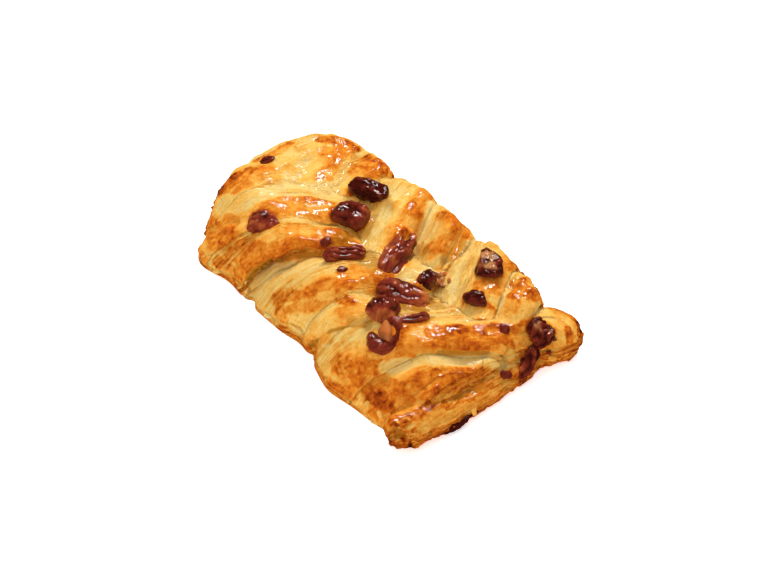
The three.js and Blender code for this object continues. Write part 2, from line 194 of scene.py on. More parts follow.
# Browned and pale places on the dough: a line from one place on it to another, the reach around that line,
# and how far the dough is baked there, from 0, pale, to 1, burnt. Most are the dough's own browning; some
# are
# painted light and shade instead: paler where the dough lies in shade under a strip's nose, darker in the
# hollow at the end of the roll
Patch = namedtuple("Patch", "start end reach bake")
PATCHES = (
    Patch((-61, -21.5, 17.5), (-56.5, -10, 25), 4, 0.72),
    Patch((-63, -4, 22), (-62, 11, 23.5), 2, 0.62),
    Patch((-57.5, 21.5, 22.5), (-46, 29, 23), 3, 0.7),
    Patch((-39.5, 29.5, 22), (-30.5, 30.5, 21), 3.5, 0.76),
    Patch((-58.5, 5, 23.5), (-45, 2, 21.5), 7, 0.15),
    Patch((-61.5, -0.5, 22.5), (-62, 8, 22.5), 3.4, 0.48),
    Patch((-49.5, -12.5, 24), (-46.5, -7, 24), 3, 0.3),
    Patch((-53, -11.5, 24.5), (-50, 2, 23), 3, 0.34),
    Patch((-50.5, 17, 23.5), (-42.5, 3, 22.5), 3.2, 0.3),
    Patch((-50, 18.5, 24), (-45, 25.5, 22.5), 3.4, 0.54),
    Patch((-41.5, 25.5, 21), (-36.5, 20.5, 21.5), 3, 0.5),
    Patch((-36.5, 25.5, 22), (-30.5, 27.5, 22), 3.5, 0.56),
    Patch((-48, -19, 22.5), (-35.5, 8, 21), 5, 0.03),
    Patch((-58.5, -24.5, 15.5), (-49, -20, 21.5), 4, 0.2),
    Patch((-58, -27.5, 11.5), (-48.5, -22, 19.5), 3, 0.25),
    Patch((-38, -12, 24), (-27, 4.5, 21.5), 4, 0.52),
    Patch((-39.5, -9.5, 23), (-30.5, 3.5, 21.5), 1.6, 0.64),
    Patch((-32.5, -13.5, 23), (-25, -1.5, 21), 2.8, 0.46),
    Patch((-30, -22, 20.5), (-15, -4.5, 23), 4, 0.44),
    Patch((-28, -26, 18.5), (-11.5, -9.5, 20.5), 3.2, 0.58),
    Patch((-26.5, -27.5, 17.5), (-11, -9.5, 19), 1.8, 0.56),
    Patch((-16, -5, 23), (-10.5, -1.5, 20.5), 3.2, 0.64),
    Patch((-16, -11, 23), (-14, -6.5, 22.5), 2.6, 0.55),
    Patch((-55, -30, 8.5), (-32, -29.5, 14.5), 7, 0.57),
    Patch((-39, -33, 9.5), (-29.5, -32.5, 10.5), 4, 0.64),
    Patch((-43.5, -36.5, 5), (-29.5, -34, 7.5), 3, 0.54),
    Patch((-53, -35.5, 5), (-46.5, -37, 5.5), 2.2, 0.3),
    Patch((-41.5, -25, 17), (-27.5, -23.5, 21), 3.2, 0.26),
    Patch((-50.5, -26.5, 14.5), (-46, -24.5, 15.5), 2.6, 0.6),
    Patch((-25, -30, 7), (-5.5, -16.5, 20.5), 4.6, 0.1),
    Patch((-31.5, -34, 8), (-27, -33, 5.5), 2.4, 0.5),
    Patch((-25, -33, 4), (-8.5, -35.5, 4), 4, 0.2),
    Patch((-11, -32.5, 8), (6, -20.5, 21.5), 4, 0.54),
    Patch((-10.5, -31.5, 9), (1.5, -26, 18), 3, 0.66),
    Patch((6, -23.5, 19), (9.5, -21, 21.5), 3, 0.5),
    Patch((-8, -34.5, 6.5), (3.5, -28.5, 14), 3, 0.5),
    Patch((4.5, -15, 23), (11, -15.5, 23.5), 3, 0.58),
    Patch((5, -10.5, 23), (15, -10.5, 21), 4, 0.44),
    Patch((5, -25, 18), (15, -15.5, 21), 2, 0.28),
    Patch((11, -21.5, 20), (17.5, -20, 21), 3, 0.62),
    Patch((15.5, -25.5, 18.5), (21.5, -19, 20), 3.5, 0.44),
    Patch((1.5, -33, 6), (15.5, -28.5, 15.5), 5, 0.22),
    Patch((-7, -35, 5), (-3.5, -35, 4.5), 2.5, 0.45),
    Patch((17, -32.5, 9.5), (29.5, -25, 19), 3, 0.12),
    Patch((16.5, -34.5, 5), (31.5, -27, 17), 3, 0.32),
    Patch((35.5, -28, 17.5), (41.5, -24, 20), 3.2, 0.22),
    Patch((30, -30.5, 14.5), (34.5, -28.5, 16.5), 2.5, 0.42),
    Patch((13, -32.5, 7), (18.5, -31, 11), 2.5, 0.42),
    Patch((29, -35, 10), (42, -28, 14), 5, 0.57),
    Patch((35.5, -33.5, 11.5), (39.5, -33.5, 10.5), 4, 0.58),
    Patch((26, -38.5, 1.5), (38, -36.5, 4.5), 3, 0.6),
    Patch((43, -27, 15), (45, -24.5, 16), 2.4, 0.1),
    Patch((41.5, -16.5, 25), (45, -8, 24), 4, 0.46),
    Patch((46, -18, 22), (51.5, -11, 21.5), 3, 0.5),
    Patch((47, -9, 24), (58.5, 16.5, 19), 3.6, 0.68),
    Patch((50.5, -10, 23), (62, 13.5, 16.5), 2.8, 0.56),
    Patch((41, -5, 24), (44, 6.5, 22), 2.4, 0.28),
    Patch((44, 6.5, 22), (56.5, 18.5, 21.5), 2.4, 0.26),
    Patch((57.5, 22.5, 22.5), (58, 31, 17), 3, 0.26),
    Patch((57, -20.5, 16.5), (62.5, -8.5, 12), 4.5, 0.64),
    Patch((58, -15.5, 18), (63.5, 3.5, 10), 3, 0.62),
    Patch((61.5, -18, 15.5), (63.5, -10, 11), 3, 0.66),
    Patch((64, -7.5, 8.5), (65.5, -5.5, 8), 2.2, 0.82),
    Patch((63.5, -9, 11), (66, 1.5, 8), 3, 0.62),
    Patch((64.5, -12.5, 8.5), (66.5, -4.5, 8), 2.4, 0.6),
    Patch((43, -30, 10.5), (54, -27, 14), 3.5, 0.56),
    Patch((43.5, -33.5, 7), (51.5, -31.5, 7.5), 4, 0.76),
    Patch((65.5, 4, 8), (66.5, 12, 7.5), 3, 0.52),
    Patch((57.5, -26.5, 11), (63.5, -11, 8.5), 2.5, 0.58),
    Patch((43.5, -26, 16), (53.5, -14.5, 20), 2.8, 0.12),
    Patch((53.5, -14.5, 20), (62, 10, 10), 3, 0),
    Patch((61.5, 8.5, 14.5), (64.5, 14.5, 9.5), 3.6, 0.3),
    Patch((61.5, -37, 13), (64.5, -28.5, 12.5), 3, 0.62),
    Patch((67.5, -35, 10.5), (68.5, -11.5, 6.5), 3.5, 0.42),
    Patch((62.5, -25.5, 12), (64, -18.5, 10.5), 2.5, 0.76),
    Patch((62, -36.5, 8), (67, -35.5, 6.5), 3, 0.6),
    Patch((68.5, -6, 6.5), (68, 9.5, 3.5), 2, 0.44),
    Patch((56.5, 28, 18), (65, 35, 14.5), 5, 0.3),
    Patch((64, 27.5, 15.5), (67, 30, 12.5), 3.4, 0.32),
    Patch((57.5, 38, 14), (64, 41, 11.5), 2, 0.76),
    Patch((64, 41, 11.5), (68, 39, 9.5), 2, 0.8),
    Patch((66.5, 34.5, 13.5), (69.5, 33.5, 9), 1.8, 0.64),
    Patch((69.5, 33.5, 9), (69.5, 30, 7), 2, 0.58),
    Patch((66.5, 24, 7), (69.5, 29.5, 6.5), 2.4, 0.5),
    Patch((66.5, 27.5, 12), (67.5, 28.5, 11), 3, 0.42),
    Patch((-37, 26, 22), (-30.5, 30, 21.5), 3.5, 0.56),
    Patch((-39, 30, 22), (-32, 31, 21.5), 2, 0.66),
    Patch((-22.5, 28.5, 22), (-13.5, 19.5, 24.5), 3.2, 0.14),
    Patch((-15.5, 27, 23), (-8.5, 12, 22), 3.2, 0),
    Patch((-8.5, 12, 22), (-7, 7.5, 20.5), 2, 0.03),
    Patch((-3, 7.5, 21.5), (-0.5, 1.5, 20), 2.5, 0.16),
    Patch((-9, 27, 25), (-2, 23, 24.5), 3.7, 0.5),
    Patch((-5, 24, 25), (-2.5, 24, 24.5), 2.6, 0.58),
    Patch((-2, 17.5, 23.5), (0, 19.5, 22), 3, 0.36),
    Patch((-3.5, 32, 22), (1.5, 21, 17), 3.2, 0),
    Patch((3, 30, 23.5), (11.5, 30.5, 25.5), 3.5, 0.5),
    Patch((10, 23.5, 24), (11, 25.5, 25.5), 2.6, 0.28),
    Patch((11.5, 17, 21), (15, 21.5, 22), 3, 0.52),
    Patch((17.5, 26, 20.5), (16.5, 28.5, 21.5), 2.5, 0.44),
    Patch((19.5, 20, 19), (18, 24.5, 20), 2.6, 0.58),
    Patch((18.5, 30, 20), (29.5, 13, 20), 3, 0.1),
    Patch((26, 19, 21), (37, 4.5, 20.5), 2.4, 0.03),
    Patch((31, 24.5, 26.5), (41.5, 25.5, 26), 4, 0.3),
    Patch((40, 16, 25.5), (41.5, 19.5, 26), 2.6, 0.46),
    Patch((47, 27.5, 25), (55.5, 26, 24.5), 4.4, 0.64),
    Patch((50, 23, 25), (56, 25, 24.5), 3, 0.58),
    Patch((40, 33.5, 22.5), (48, 36, 18.5), 2, 0.76),
    Patch((41.5, 7.5, 22.5), (45.5, 10, 22.5), 3, 0.26),
    Patch((37, 11.5, 23), (48.5, 18.5, 22), 2.4, 0.14),
    Patch((56.5, 24, 23.5), (57.5, 32, 16.5), 3.6, 0.2),
    Patch((16.5, 2.5, 20.5), (19, 19, 18.5), 4, 0.08),
    Patch((19.5, 15.5, 17.5), (21.5, 19, 18.5), 1.5, 0.4),
)

# Painted shade beside the strips and the pecans, laid out in the same way, with how deep the painted shade
# is, or
# 0 where there is none
SHADES = (
    Patch((-0.5, -1, 20), (10, -4.5, 23.5), 4, 0.7),
    Patch((-20.5, 21.5, 21.5), (-11, 18, 24), 3, 0.6),
    Patch((-29.5, 21, 22.5), (-17, 20, 24), 3, 0.6),
    Patch((21.5, -24, 18.5), (28.5, -22, 21), 2.5, 0.6),
    Patch((28.5, -9.5, 23), (35, -3.5, 21.5), 3, 1),
    Patch((18, 20, 19), (19, 23.5, 20), 3, 0.8),
    Patch((-10, 5, 19), (-11, 11, 21.5), 4, 0.7),
    Patch((-21.5, 15, 20.5), (-14.5, 15, 22.5), 2.5, 0.3),
    Patch((-9, -3.5, 20), (3.5, -4, 21), 4, 0.6),
    Patch((-11.5, -5, 21.5), (-10.5, -2, 21), 3, 0.7),
    Patch((3, 19, 16), (12.5, 15, 19.5), 3, 0.45),
    Patch((30, 2.5, 18.5), (36, 3, 20.5), 4, 0.65),
    Patch((34, -14, 24), (39.5, -5.5, 24), 3, 0.6),
    Patch((7.5, 1, 21), (12, -6, 24), 3, 0.7),
    Patch((17.5, 26, 20.5), (17, 28, 21), 2.5, 0.4),
    Patch((52, -10.5, 19.5), (62, 10, 14.5), 1.6, 0.8),
    Patch((-3, 32, 22), (2, 20.5, 16.5), 3.4, 0),
    Patch((-15.5, 27, 23), (-7, 8.5, 21), 2.6, 0),
    Patch((54, -15, 20), (62.5, 10, 10), 3, 0),
    Patch((43.5, -26, 15.5), (54, -15, 20), 2.4, 0.1),
    Patch((-24.5, -31, 6), (-3.5, -18, 21), 2.8, 0.05),
    Patch((42, 8, 22.5), (56, 18.5, 21.5), 4, 0),
    Patch((61, 8, 14.5), (64.5, 14.5, 9), 4.5, 0),
    Patch((56.5, 24, 23.5), (58, 32.5, 16.5), 4, 0),
    Patch((-15.5, -16, 17), (-10.5, -11.5, 17), 2, 0.9),
    Patch((40, 9.5, 23.5), (50.5, 18, 22), 3, 0),
    Patch((-27, -34, 6), (-26, -32.5, 10.5), 1.2, 0.95),
    Patch((-26, -32.5, 10.5), (-22, -27, 15.5), 1.4, 1),
    Patch((-22, -27, 15.5), (-15.5, -16, 17), 1.3, 0.95),
    Patch((-27, -34, 6), (-25.5, -34.5, 2.5), 1, 0.9),
    Patch((10.5, -33, 3.5), (17.5, -29.5, 14), 0.9, 0.95),
    Patch((17.5, -29.5, 14), (22.5, -25.5, 18), 0.7, 0.9),
    Patch((22.5, -25.5, 18), (28, -23, 20.5), 0.6, 0.8),
    Patch((55, -31, 7), (63.5, -17.5, 11.5), 0.9, 0.4),
    Patch((63.5, -17.5, 11.5), (67.5, 10.5, 5.5), 0.8, 0.3),
)

# Pecans: how far each is moved in plan and turned in degrees, the share of its solid's length, width and
# height that it takes, how many ribs run along it and how deep they are, how light its skin is from 0 to 1,
# how much lighter at one end, how deeply the other end is forked, how many flat breaks it has, how high its
# skin is whole, above which it shows its inside, and how much narrower one end is
Nut = namedtuple("Nut", "node shift turn size ribs rib_depth tone tip fork breaks whole taper")
NUTS = (
    Nut("pecan_01", (0, 0), 0, (1, 1, 1), 4, 0.6, 0.1, 0, 0, 5, 2, 0),
    Nut("pecan_02", (0, 0), 0, (1, 1, 1), 3, 0.8, 0.22, 0.3, 0, 5, 2, 0),
    Nut("pecan_03", (0.3, 0.3), 0, (1, 1, 1), 3, 0.4, 0.45, 0.1, 0, 7, 2, 0),
    Nut("pecan_04", (0, 0), 0, (1, 1, 1), 9, 0.6, 0.45, 0, 0, 0, 2, 0),
    Nut("pecan_05", (0, 0), 0, (1.4, 1, 1.05), 5, 0.7, 0.55, 0, 1.1, 3, 2, 0),
    Nut("pecan_06", (2.4, -1.9), 0, (1, 1.15, 1.22), 7, 0.3, 0.36, 0.5, 0, 0, 2, 0),
    Nut("pecan_07", (-1.4, -0.2), 0, (0.78, 0.82, 0.92), 3, 0.6, 0.2, 0, 0.6, 7, 2, 0),
    Nut("pecan_08", (0, 0), 0, (1.1, 1.05, 1.1), 4, 0.8, 0.3, 0.4, 0, 8, 2, 0),
    Nut("pecan_09", (-1.4, 2.9), 26, (1.15, 1.12, 1), 0, 0.5, 0.32, 0, 0, 0, 2, 0),
    Nut("pecan_10", (0.4, -0.4), 0, (1, 0.64, 0.8), 6, 0.5, 0.5, 0.1, 0, 0, 2, 0),
    Nut("pecan_11", (0, 0), -18, (1.36, 1, 1.15), 4, 0.5, 0.26, 0, 0, 7, 0.4, 0.8),
    Nut("pecan_12", (0, 0), 0, (0.97, 0.87, 1), 3, 0.5, 0.16, 0, 0, 7, 2, 0),
    Nut("pecan_13", (0, 0), 0, (0.93, 0.93, 0.95), 7, 0.9, 0.26, 0, 0, 2, 0.8, 0),
    Nut("pecan_14", (0, 0), 0, (1.1, 1, 1), 5, 0.7, 0.32, 0, 0, 4, 2, 0),
)

# A pecan's form and skin: the fork in its end, its flat breaks, how its ribs wander along it, and the sizes
# and depths of its creases in millimetres, with what they do to how light it is. A layer of its skin has how
# much of it there is, the size of its lumps and its seed
FORK_MIDDLE = -0.15
FORK_WIDTH = 0.5
FORK_SPREAD = 0.35
FORK_SPAN = (0.1, 0.9)
HORN_SPAN = (0.3, 1)
BREAK_TURN = 2.4
BREAK_SWAY = 0.6
BREAK_SHARES = (0.68, 0.92)
BREAK_FLATNESS = 0.9
RIB_WAVES = ((0.35, 2.3, 1), (0.2, 5.1, 2))
RIB_LIFT = 0.4
RIB_TONE = 0.3
CREASE_DRAWN = (0.55, 1, 1)
CREASE_SIZES = (2.1, 1)
CREASE_SHARES = (1, 0.6)
CREASE_MIDDLE = 0.45
CREASE_SEEDS = (0, 20)
CREASE_DEPTH = 0.7
CREASE_TONE = 0.35
SKIN_LAYERS = {"lumps": (0.4, 3.6, 40), "mottle": (0.2, 3, 60), "breaks": (0.5, 2, 80)}
INSIDE_SPAN = (0.1, 0.5)
TIP_SPAN = (0.2, 0.9)

# Small bits of nut on the dough: place in plan, heading of the length in degrees from +X, and length, width
# and height
Lump = namedtuple("Lump", "at heading size")
BITS = (
    Lump((-58.8, -1.5), 52, (6, 3.5, 3)),
    Lump((-12.6, -9.8), 100, (4.5, 3.5, 3)),
    Lump((3, -14), 60, (4.5, 2.6, 2.2)),
    Lump((57.3, 13.3), 0, (4.5, 3.6, 3)),
    Lump((65.4, 7.5), 40, (4.5, 3.6, 2.6)),
    Lump((66, 28), 20, (3, 2, 1.6)),
    Lump((67, 25.5), 80, (2.2, 1.6, 1.3)),
)
CRUMBS = (
    Lump((22.4, 13.4), 30, (3.4, 2.6, 2.2)),
    Lump((24.4, 10.8), 80, (3.4, 2.6, 2.4)),
    Lump((24.8, 13.2), 120, (3, 2.4, 2.2)),
    Lump((27.2, 11.6), 10, (3, 2.2, 2)),
    Lump((22.6, 15.6), 60, (2.4, 1.8, 1.6)),
    Lump((28, 13.6), 150, (2, 1.6, 1.4)),
)
KERNEL = Lump((35.8, -20.4), 155, (10, 5.6, 4.6))  # the inside of the curled pecan
KERNEL_SEED = 21
BIT_LOOKS = (0.3, 0.0)  # how light the skin is, and how much of the inside shows
CRUMB_LOOKS = (1.0, 1.0)
KERNEL_LOOKS = (0.85, 0.3)
BIT_BREAKS = 6
BIT_LUMPS = ((0.22, 0.3, 0), (0.12, 0.13, 9))
BIT_TONE = 0.9
BIT_INSIDE = ((1, 0.5, 30),)
BIT_INSIDE_SPAN = (-0.2, 0.1)
BIT_LIFT = 0.2  # the share of its height by which the middle of a bit stands over the dough

# The burnt drip of glaze, and the loose flakes
DRIP = Lump((68.7, -15.6), 93, (14, 3, 3.4))
DRIP_LIFT = 0.9  # the height of the drip's middle, as a share of its own height
DRIP_LUMPS = ((0.45, 2, 3), (0.25, 0.9, 4))
DRIP_TONE = 0.3
FLAKE_COUNT = 170
FLAKE_SEED = 7
FLAKE_LENGTHS = (1.2, 3.4)
FLAKE_WIDTHS = (0.8, 1.6)
FLAKE_CURLS = (0.1, 0.35)
FLAKE_BAKE_SHIFTS = (-0.3, 0.05)
FLAKE_BAKE_RANGE = (0.05, 0.8)
FLAKE_THICKNESS = 0.09
FLAKE_TAPER = 0.35
FLAKE_BEND = 0.5
FLAKE_TILT = 0.25

# Where the dough is wall, slope, nose, hollow, rim, roll or torn end: the values between which each comes in
WALL_DEPTHS = (3, 7)
WALL_TILTS = (0.45, 0.2)
SLOPE_SHARES = (0.12, 0.4)
NOSE_REACHES = (-1, -4)
DIP_REACH = 2.6
DIP_DEPTHS = (0.2, 1.8)
RIM_HEIGHTS = (6, 2)
RIM_TILTS = (0.1, 0.3)
RIM_FEET = (0.4, 1.5)
ROLL_ALONG = (61, 63)
ROLL_ACROSS = (18, 10)
TORN_ACROSS = (-30, -34.5)
RELIEF_FEET = (0, 1.5)

# How far the dough is baked before the patches are laid on it, and how far it may be
BAKE_BASE = 0.2
RIDGE_PLACE = -1
RIDGE_REACH = 4
BAKE_RIDGE = 0.22
BAKE_NOSE = 0.2
BAKE_WALL = 0.6
BAKE_RANGE = (0.02, 0.97)
BAKE_BY_NUT = 0.12
BAKE_BY_NUT_REACH = 1.5

# Noise on the dough in layers: how much of it, the size of its lumps in millimetres, and its seed
RAGGED_EDGES = ((1.1, 3, 5), (0.7, 1.2, 6))
BAKE_DRIFT = ((0.07, 5, 7),)
TORN_SPOTS = ((0.32, 1.3, 15),)
TORN_CRUMBS = ((0.7, 1.3, 14),)
LAYER_DRIFT = ((0.9, 6, 8),)
BLISTERS = ((1, 3.2, 10), (0.7, 1.5, 11))
WALL_LUMPS = ((0.7, 4.5, 16),)
SKIN_LUMPS = ((0.35, 6.5, 13),)

# Relief that is drawn out, along the strips or the walls: how much of it, how it is drawn out, its size and
# its seed
STREAKS = ((1, (0.06, 0.8, 1), 1, 8), (0.6, (0.1, 1.7, 1), 1, 9))
FOLDS = ((0.5, (0.25, 1, 1), 2.4, 12),)
WALL_TEARS = ((1.2, (1, 1, 3), 3.4, 9),)
LAYER_THICKNESS = 2.1

# How far the dough stands up around a nut, and how far out
NUT_SEAT = 0.5
NUT_SEAT_REACH = 1.1

# Cracks in the baked skin: their share, the size of the plates and the seed, and how thin they are
VEINS = ((1, 5.5, 30), (0.7, 3.1, 31))
VEIN_WIDTH = 0.1
VEIN_PALENESS = 0.3

# Rounds of averaging that show the fine relief and the folds, and how far they change the baking
FINE_ROUNDS = 6
FOLD_ROUNDS = 52
FINE_BAKE = 0.7
FINE_DEPTHS = (-0.12, 0.12)
FOLD_BAKE = 0.25
FOLD_DEPTHS = (-0.4, 0.1)
# Painted shade: how deep a fold must be before shade is painted in it, and how much in dips and folds
SHADE_DEPTHS = (0.2, 0.75)
SHADE_IN_DIPS = 0.3
SHADE_IN_FOLDS = 0.8

# Where layers, glaze and loose flakes show, and the grain of the layers on the walls and the roll
BROWNED = (0.35, 0.65)
CRACKED = (0.5, 0.7)
VEINED = (0.55, 0.7)
LAYERS_ON_WALL = 0.8
LAYERS_ON_ROLL = 0.9
LAYERS_WHERE_PALE = (0.3, 0.12)
GLAZE_LEAST = 0.25
GLAZE_ON_BROWN = 0.9
GLAZE_TILTS = (0.25, 0.75)
ROLL_DRYNESS = 0.7
LOOSE_ANYWHERE = 0.004
LOOSE_HEIGHTS = (1, 3)
WALL_GRAIN = 1.3
ROLL_GRAIN = 0.5
BLISTERS_ANYWHERE = 0.3

# Camera and lamps: the place that they face, in millimetres over the sheet, and for each lamp how far round
# from the camera and how high it stands in radians, its distance and size in metres and its power in watts
TARGET = (12, 0, 10)
SENSOR_WIDTH = 36
FLOOR_SIZE = 6
WORLD_STRENGTH = 0.3
Lamp = namedtuple("Lamp", "name swing height distance size power glossy")
LAMPS = (
    Lamp("key", math.pi - 0.35, math.radians(58), 0.8, 0.22, 5, False),
    Lamp("glint", math.pi - 0.35, math.radians(58), 0.8, 0.3, 14, True),
    Lamp("fill", -0.6, math.radians(50), 1.1, 0.7, 4.2, False),
    Lamp("top", 0, math.radians(90), 1.1, 0.8, 2, False),
)


def linear(red, green, blue):
    """A colour from 0 to 255 as seen on a screen, as a linear colour from 0 to 1."""
    shares = (channel / 255 for channel in (red, green, blue))
    return tuple(s / 12.92 if s <= 0.04045 else ((s + 0.055) / 1.055) ** 2.4 for s in shares)


def length_value(name, description, default):
    """A length in metres that a user may change."""
    return FloatProperty(
        name=name, description=description, default=default, unit="LENGTH", subtype="DISTANCE",
    )


def colour_value(name, description, red, green, blue):
    """A colour that a user may change."""
    return FloatVectorProperty(
        name=name, description=description, default=linear(red, green, blue),
        size=3, min=0, max=1, subtype="COLOR",
    )


class PastryDough(bpy.types.PropertyGroup):
    """Sizes of the sheet of dough and of the relief on it."""

    start_length: length_value("Start length", "From the middle to the end where the braid starts", 0.069)
    finish_length: length_value("Finish length", "From the middle to the end where it finishes", 0.064)
    half_width: length_value("Half width", "From the middle to either side", 0.038)
    core_top: length_value("Filling height", "Height of the filling where no strip covers it", 0.015)
    layer_depth: length_value("Layer depth", "Relief of the layers that show on a strip's slope", 0.00028)
    flake_depth: length_value("Flake depth", "Relief of the layers that show at the walls", 0.00045)
    blister_depth: length_value("Blister depth", "Relief of the blisters on the browned ridges", 0.00045)
    crack_depth: length_value("Crack depth", "Relief of the cracked skin on the browned ends", 0.0003)


class PastryColours(bpy.types.PropertyGroup):
    """Colours of the dough as it bakes, and of the pecans."""

    pale: colour_value("Pale", "Dough that is hardly baked", 250, 215, 135)
    cream: colour_value("Cream", "Dough in the folds", 246, 196, 100)
    gold: colour_value("Gold", "Dough on the slopes", 236, 161, 62)
    orange: colour_value("Orange", "Glazed dough on the ridges", 218, 118, 27)
    brown: colour_value("Brown", "Browned dough", 180, 80, 22)
    dark: colour_value("Dark brown", "Dark edges and blisters", 116, 42, 10)
    burnt: colour_value("Burnt", "Burnt specks", 58, 22, 10)
    # Painted shade: the colour that dips, deep folds and other shaded places are drawn towards
    shade: colour_value("Shade", "Dough deep in the creases", 178, 112, 24)
    pecan_dark: colour_value("Pecan grooves", "Grooves of the pecans", 62, 17, 12)
    pecan_brown: colour_value("Pecan", "Skin of the pecans", 130, 49, 33)
    pecan_amber: colour_value("Light pecan", "Light skin of the pecans", 188, 102, 48)
    pecan_tan: colour_value("Pecan inside", "Broken faces of the pecans", 206, 148, 88)


class PastryStage(bpy.types.PropertyGroup):
    """Light, floor and camera."""

    floor: colour_value("Floor", "Colour of the floor", 252, 252, 252)
    azimuth: FloatProperty(
        name="Azimuth", description="Direction that the camera looks from",
        default=math.radians(52), subtype="ANGLE", unit="ROTATION",
    )
    elevation: FloatProperty(
        name="Elevation", description="Height of the camera above the horizon",
        default=math.radians(45), subtype="ANGLE", unit="ROTATION",
    )
    distance: length_value("Distance", "From the camera to its target", 0.646)
    lens: FloatProperty(name="Lens", description="Focal length in millimetres", default=85)


class PastrySettings(bpy.types.PropertyGroup):
    """All that a user would change."""

    dough: PointerProperty(type=PastryDough)
    colours: PointerProperty(type=PastryColours)
    stage: PointerProperty(type=PastryStage)


# Numbers over many points at once


def smooth_step(low, high, value):
    """0 up to low and 1 from high on, with a soft rise between them, or a fall where low is higher."""
    share = np.clip((value - low) / (high - low), 0, 1)
    return share * share * (3 - 2 * share)


def lattice_value(cell, seed):
    """A repeatable number from 0 to 1 for each cell of a lattice."""
    value = np.sin(cell @ np.array((127.1, 311.7, 74.7)) + 53.3 * seed) * 43758.5453
    return value - np.floor(value)


def noise_at(points, scale, seed=0):
    """Smooth noise from -1 to 1, with lumps about as large as scale."""
    place = np.asarray(points, float) / scale
    cell = np.floor(place)
    share = place - cell
    share = share * share * (3 - 2 * share)
    total = np.zeros(len(place))
    for corner in np.ndindex(2, 2, 2):
        step = np.array(corner)
        weight = np.prod(np.where(step == 1, share, 1 - share), axis=1)
        total += weight * lattice_value(cell + step, seed)
    return 2 * total - 1


def mixed_noise(points, layers, first_seed=0):
    """Noise in layers, each with how much of it there is, the size of its lumps and its seed."""
    return sum(amount * noise_at(points, scale, first_seed + seed) for amount, scale, seed in layers)


def drawn_noise(points, layers):
    """Noise in layers as before, each also drawn out along the axes."""
    return sum(
        amount * noise_at(points * np.array(drawn), scale, seed) for amount, drawn, scale, seed in layers
    )


def hump(value, place, reach):
    """1 at a place, falling off softly to either side."""
    return np.exp(-(((value - place) / reach) ** 2))


# The dough's form


def strip_run(strip):
    """A strip's length in plan, and its direction."""
    run = np.subtract(strip.tip, strip.root).astype(float)
    length = np.hypot(*run)
    return length, run / length


def strip_place(strip, x, y):
    """Distance along a strip, and the distance behind its ridge, towards the braid's start."""
    run = strip_run(strip)[1]
    out_x, out_y = x - strip.root[0], y - strip.root[1]
    return out_x * run[0] + out_y * run[1], strip.side * (out_x * run[1] - out_y * run[0])


def ridge_height(strip, along):
    """Height of a strip's ridge along its length."""
    length = strip_run(strip)[0]
    share = along / length
    back = 1 - np.clip(share / CROWN_SHARE, 0, 1)
    on = np.clip((share - CROWN_SHARE) / (1 - CROWN_SHARE), 0, 1)
    past = np.maximum(along - length, 0)
    fall = (strip.end - strip.crown) * on**FALL_POWER
    return strip.crown - SHOULDER * back**2 + fall - TIP_ROUND * past**2


def nose_share(strip, behind):
    """How far down its nose a strip has come, from 0 at the ridge to 1."""
    t = np.clip(-behind / strip.near, 0, 1)
    return 1 - (1 - t**NOSE_POWER) ** (1 / NOSE_POWER)


def section_drop(strip, along, behind):
    """How far a strip's top lies below its ridge, on its slope or its nose."""
    wide = 1 + strip.spread * smooth_step(SPREAD_SHARE, 0, along / strip_run(strip)[0])
    t = np.maximum(behind, 0) / (strip.far * wide)
    slope = SLOPE_DROP * (SLOPE_STRAIGHT * t + (1 - SLOPE_STRAIGHT) * t**2)
    fall = NOSE_FALL * np.maximum(-behind - strip.near, 0)
    return slope + NOSE_DROP * nose_share(strip, behind) + fall


def unevenness(x, y):
    """Broad swells of the dough's top."""
    return SWELL * sum(np.sin(a * x + b * y + phase) for a, b, phase in SWELL_WAVES)


def strip_tops(x, y):
    """For every strip, its top over each place, the distance along it and the distance behind its ridge."""
    tops, alongs, behinds = [], [], []
    for strip in STRIPS:
        along, behind = strip_place(strip, x, y)
        tops.append(ridge_height(strip, along) - section_drop(strip, along, behind))
        alongs.append(along)
        behinds.append(behind)
    return np.array(tops), np.array(alongs), np.array(behinds)


def top_of(tops, core_top, x):
    """The highest of all strips and the filling, with rounded creases between them, most at the start."""
    top = np.full(tops.shape[1], core_top)
    crease = CREASE + (START_CREASE - CREASE) * smooth_step(*START_CREASE_SPAN, x)
    for other in tops:
        top = (top + other + np.hypot(top - other, crease)) / 2
    return top - (crease - CREASE) / 2


def top_at(x, y):
    """Height of the dough's top over places in plan."""
    x, y = np.atleast_1d(x).astype(float), np.atleast_1d(y).astype(float)
    return top_of(strip_tops(x, y)[0], settings().dough.core_top / MM, x) + unevenness(x, y)


def strip_weights(tops):
    """How much each strip is the one on top."""
    lifted = np.exp((tops - tops.max(axis=0)) / LIP_BLEND)
    return lifted / lifted.sum(axis=0)


def undercut_at(tops, along, behind):
    """How far each place is drawn back under the nose that hangs over it."""
    shift = np.zeros((2, tops.shape[1]))
    for strip, weight, on, distance in zip(STRIPS, strip_weights(tops), along, behind):
        length, run = strip_run(strip)
        open_share = smooth_step(strip.opens - LIP_OPENS, strip.opens, on / length)
        low_share = smooth_step(LIP_FROM, 1, nose_share(strip, distance))
        amount = strip.undercut * weight * open_share * low_share
        shift += strip.side * np.outer((run[1], -run[0]), amount)
    return shift


def out_and_down(place, wall_share, wall, power):
    """How far out a place of the grid lies, the share of the height left there, and how far down it is."""
    flat = 1 - wall_share
    down = np.clip((place - flat) / wall_share, 0, 1)
    turned = 1 - wall + wall * np.sin(down * math.pi / 2) ** (2 / power)
    stand = np.maximum(np.cos(down * math.pi / 2), 0) ** (2 / power)
    return np.where(place <= flat, place / flat * (1 - wall), turned), stand, down


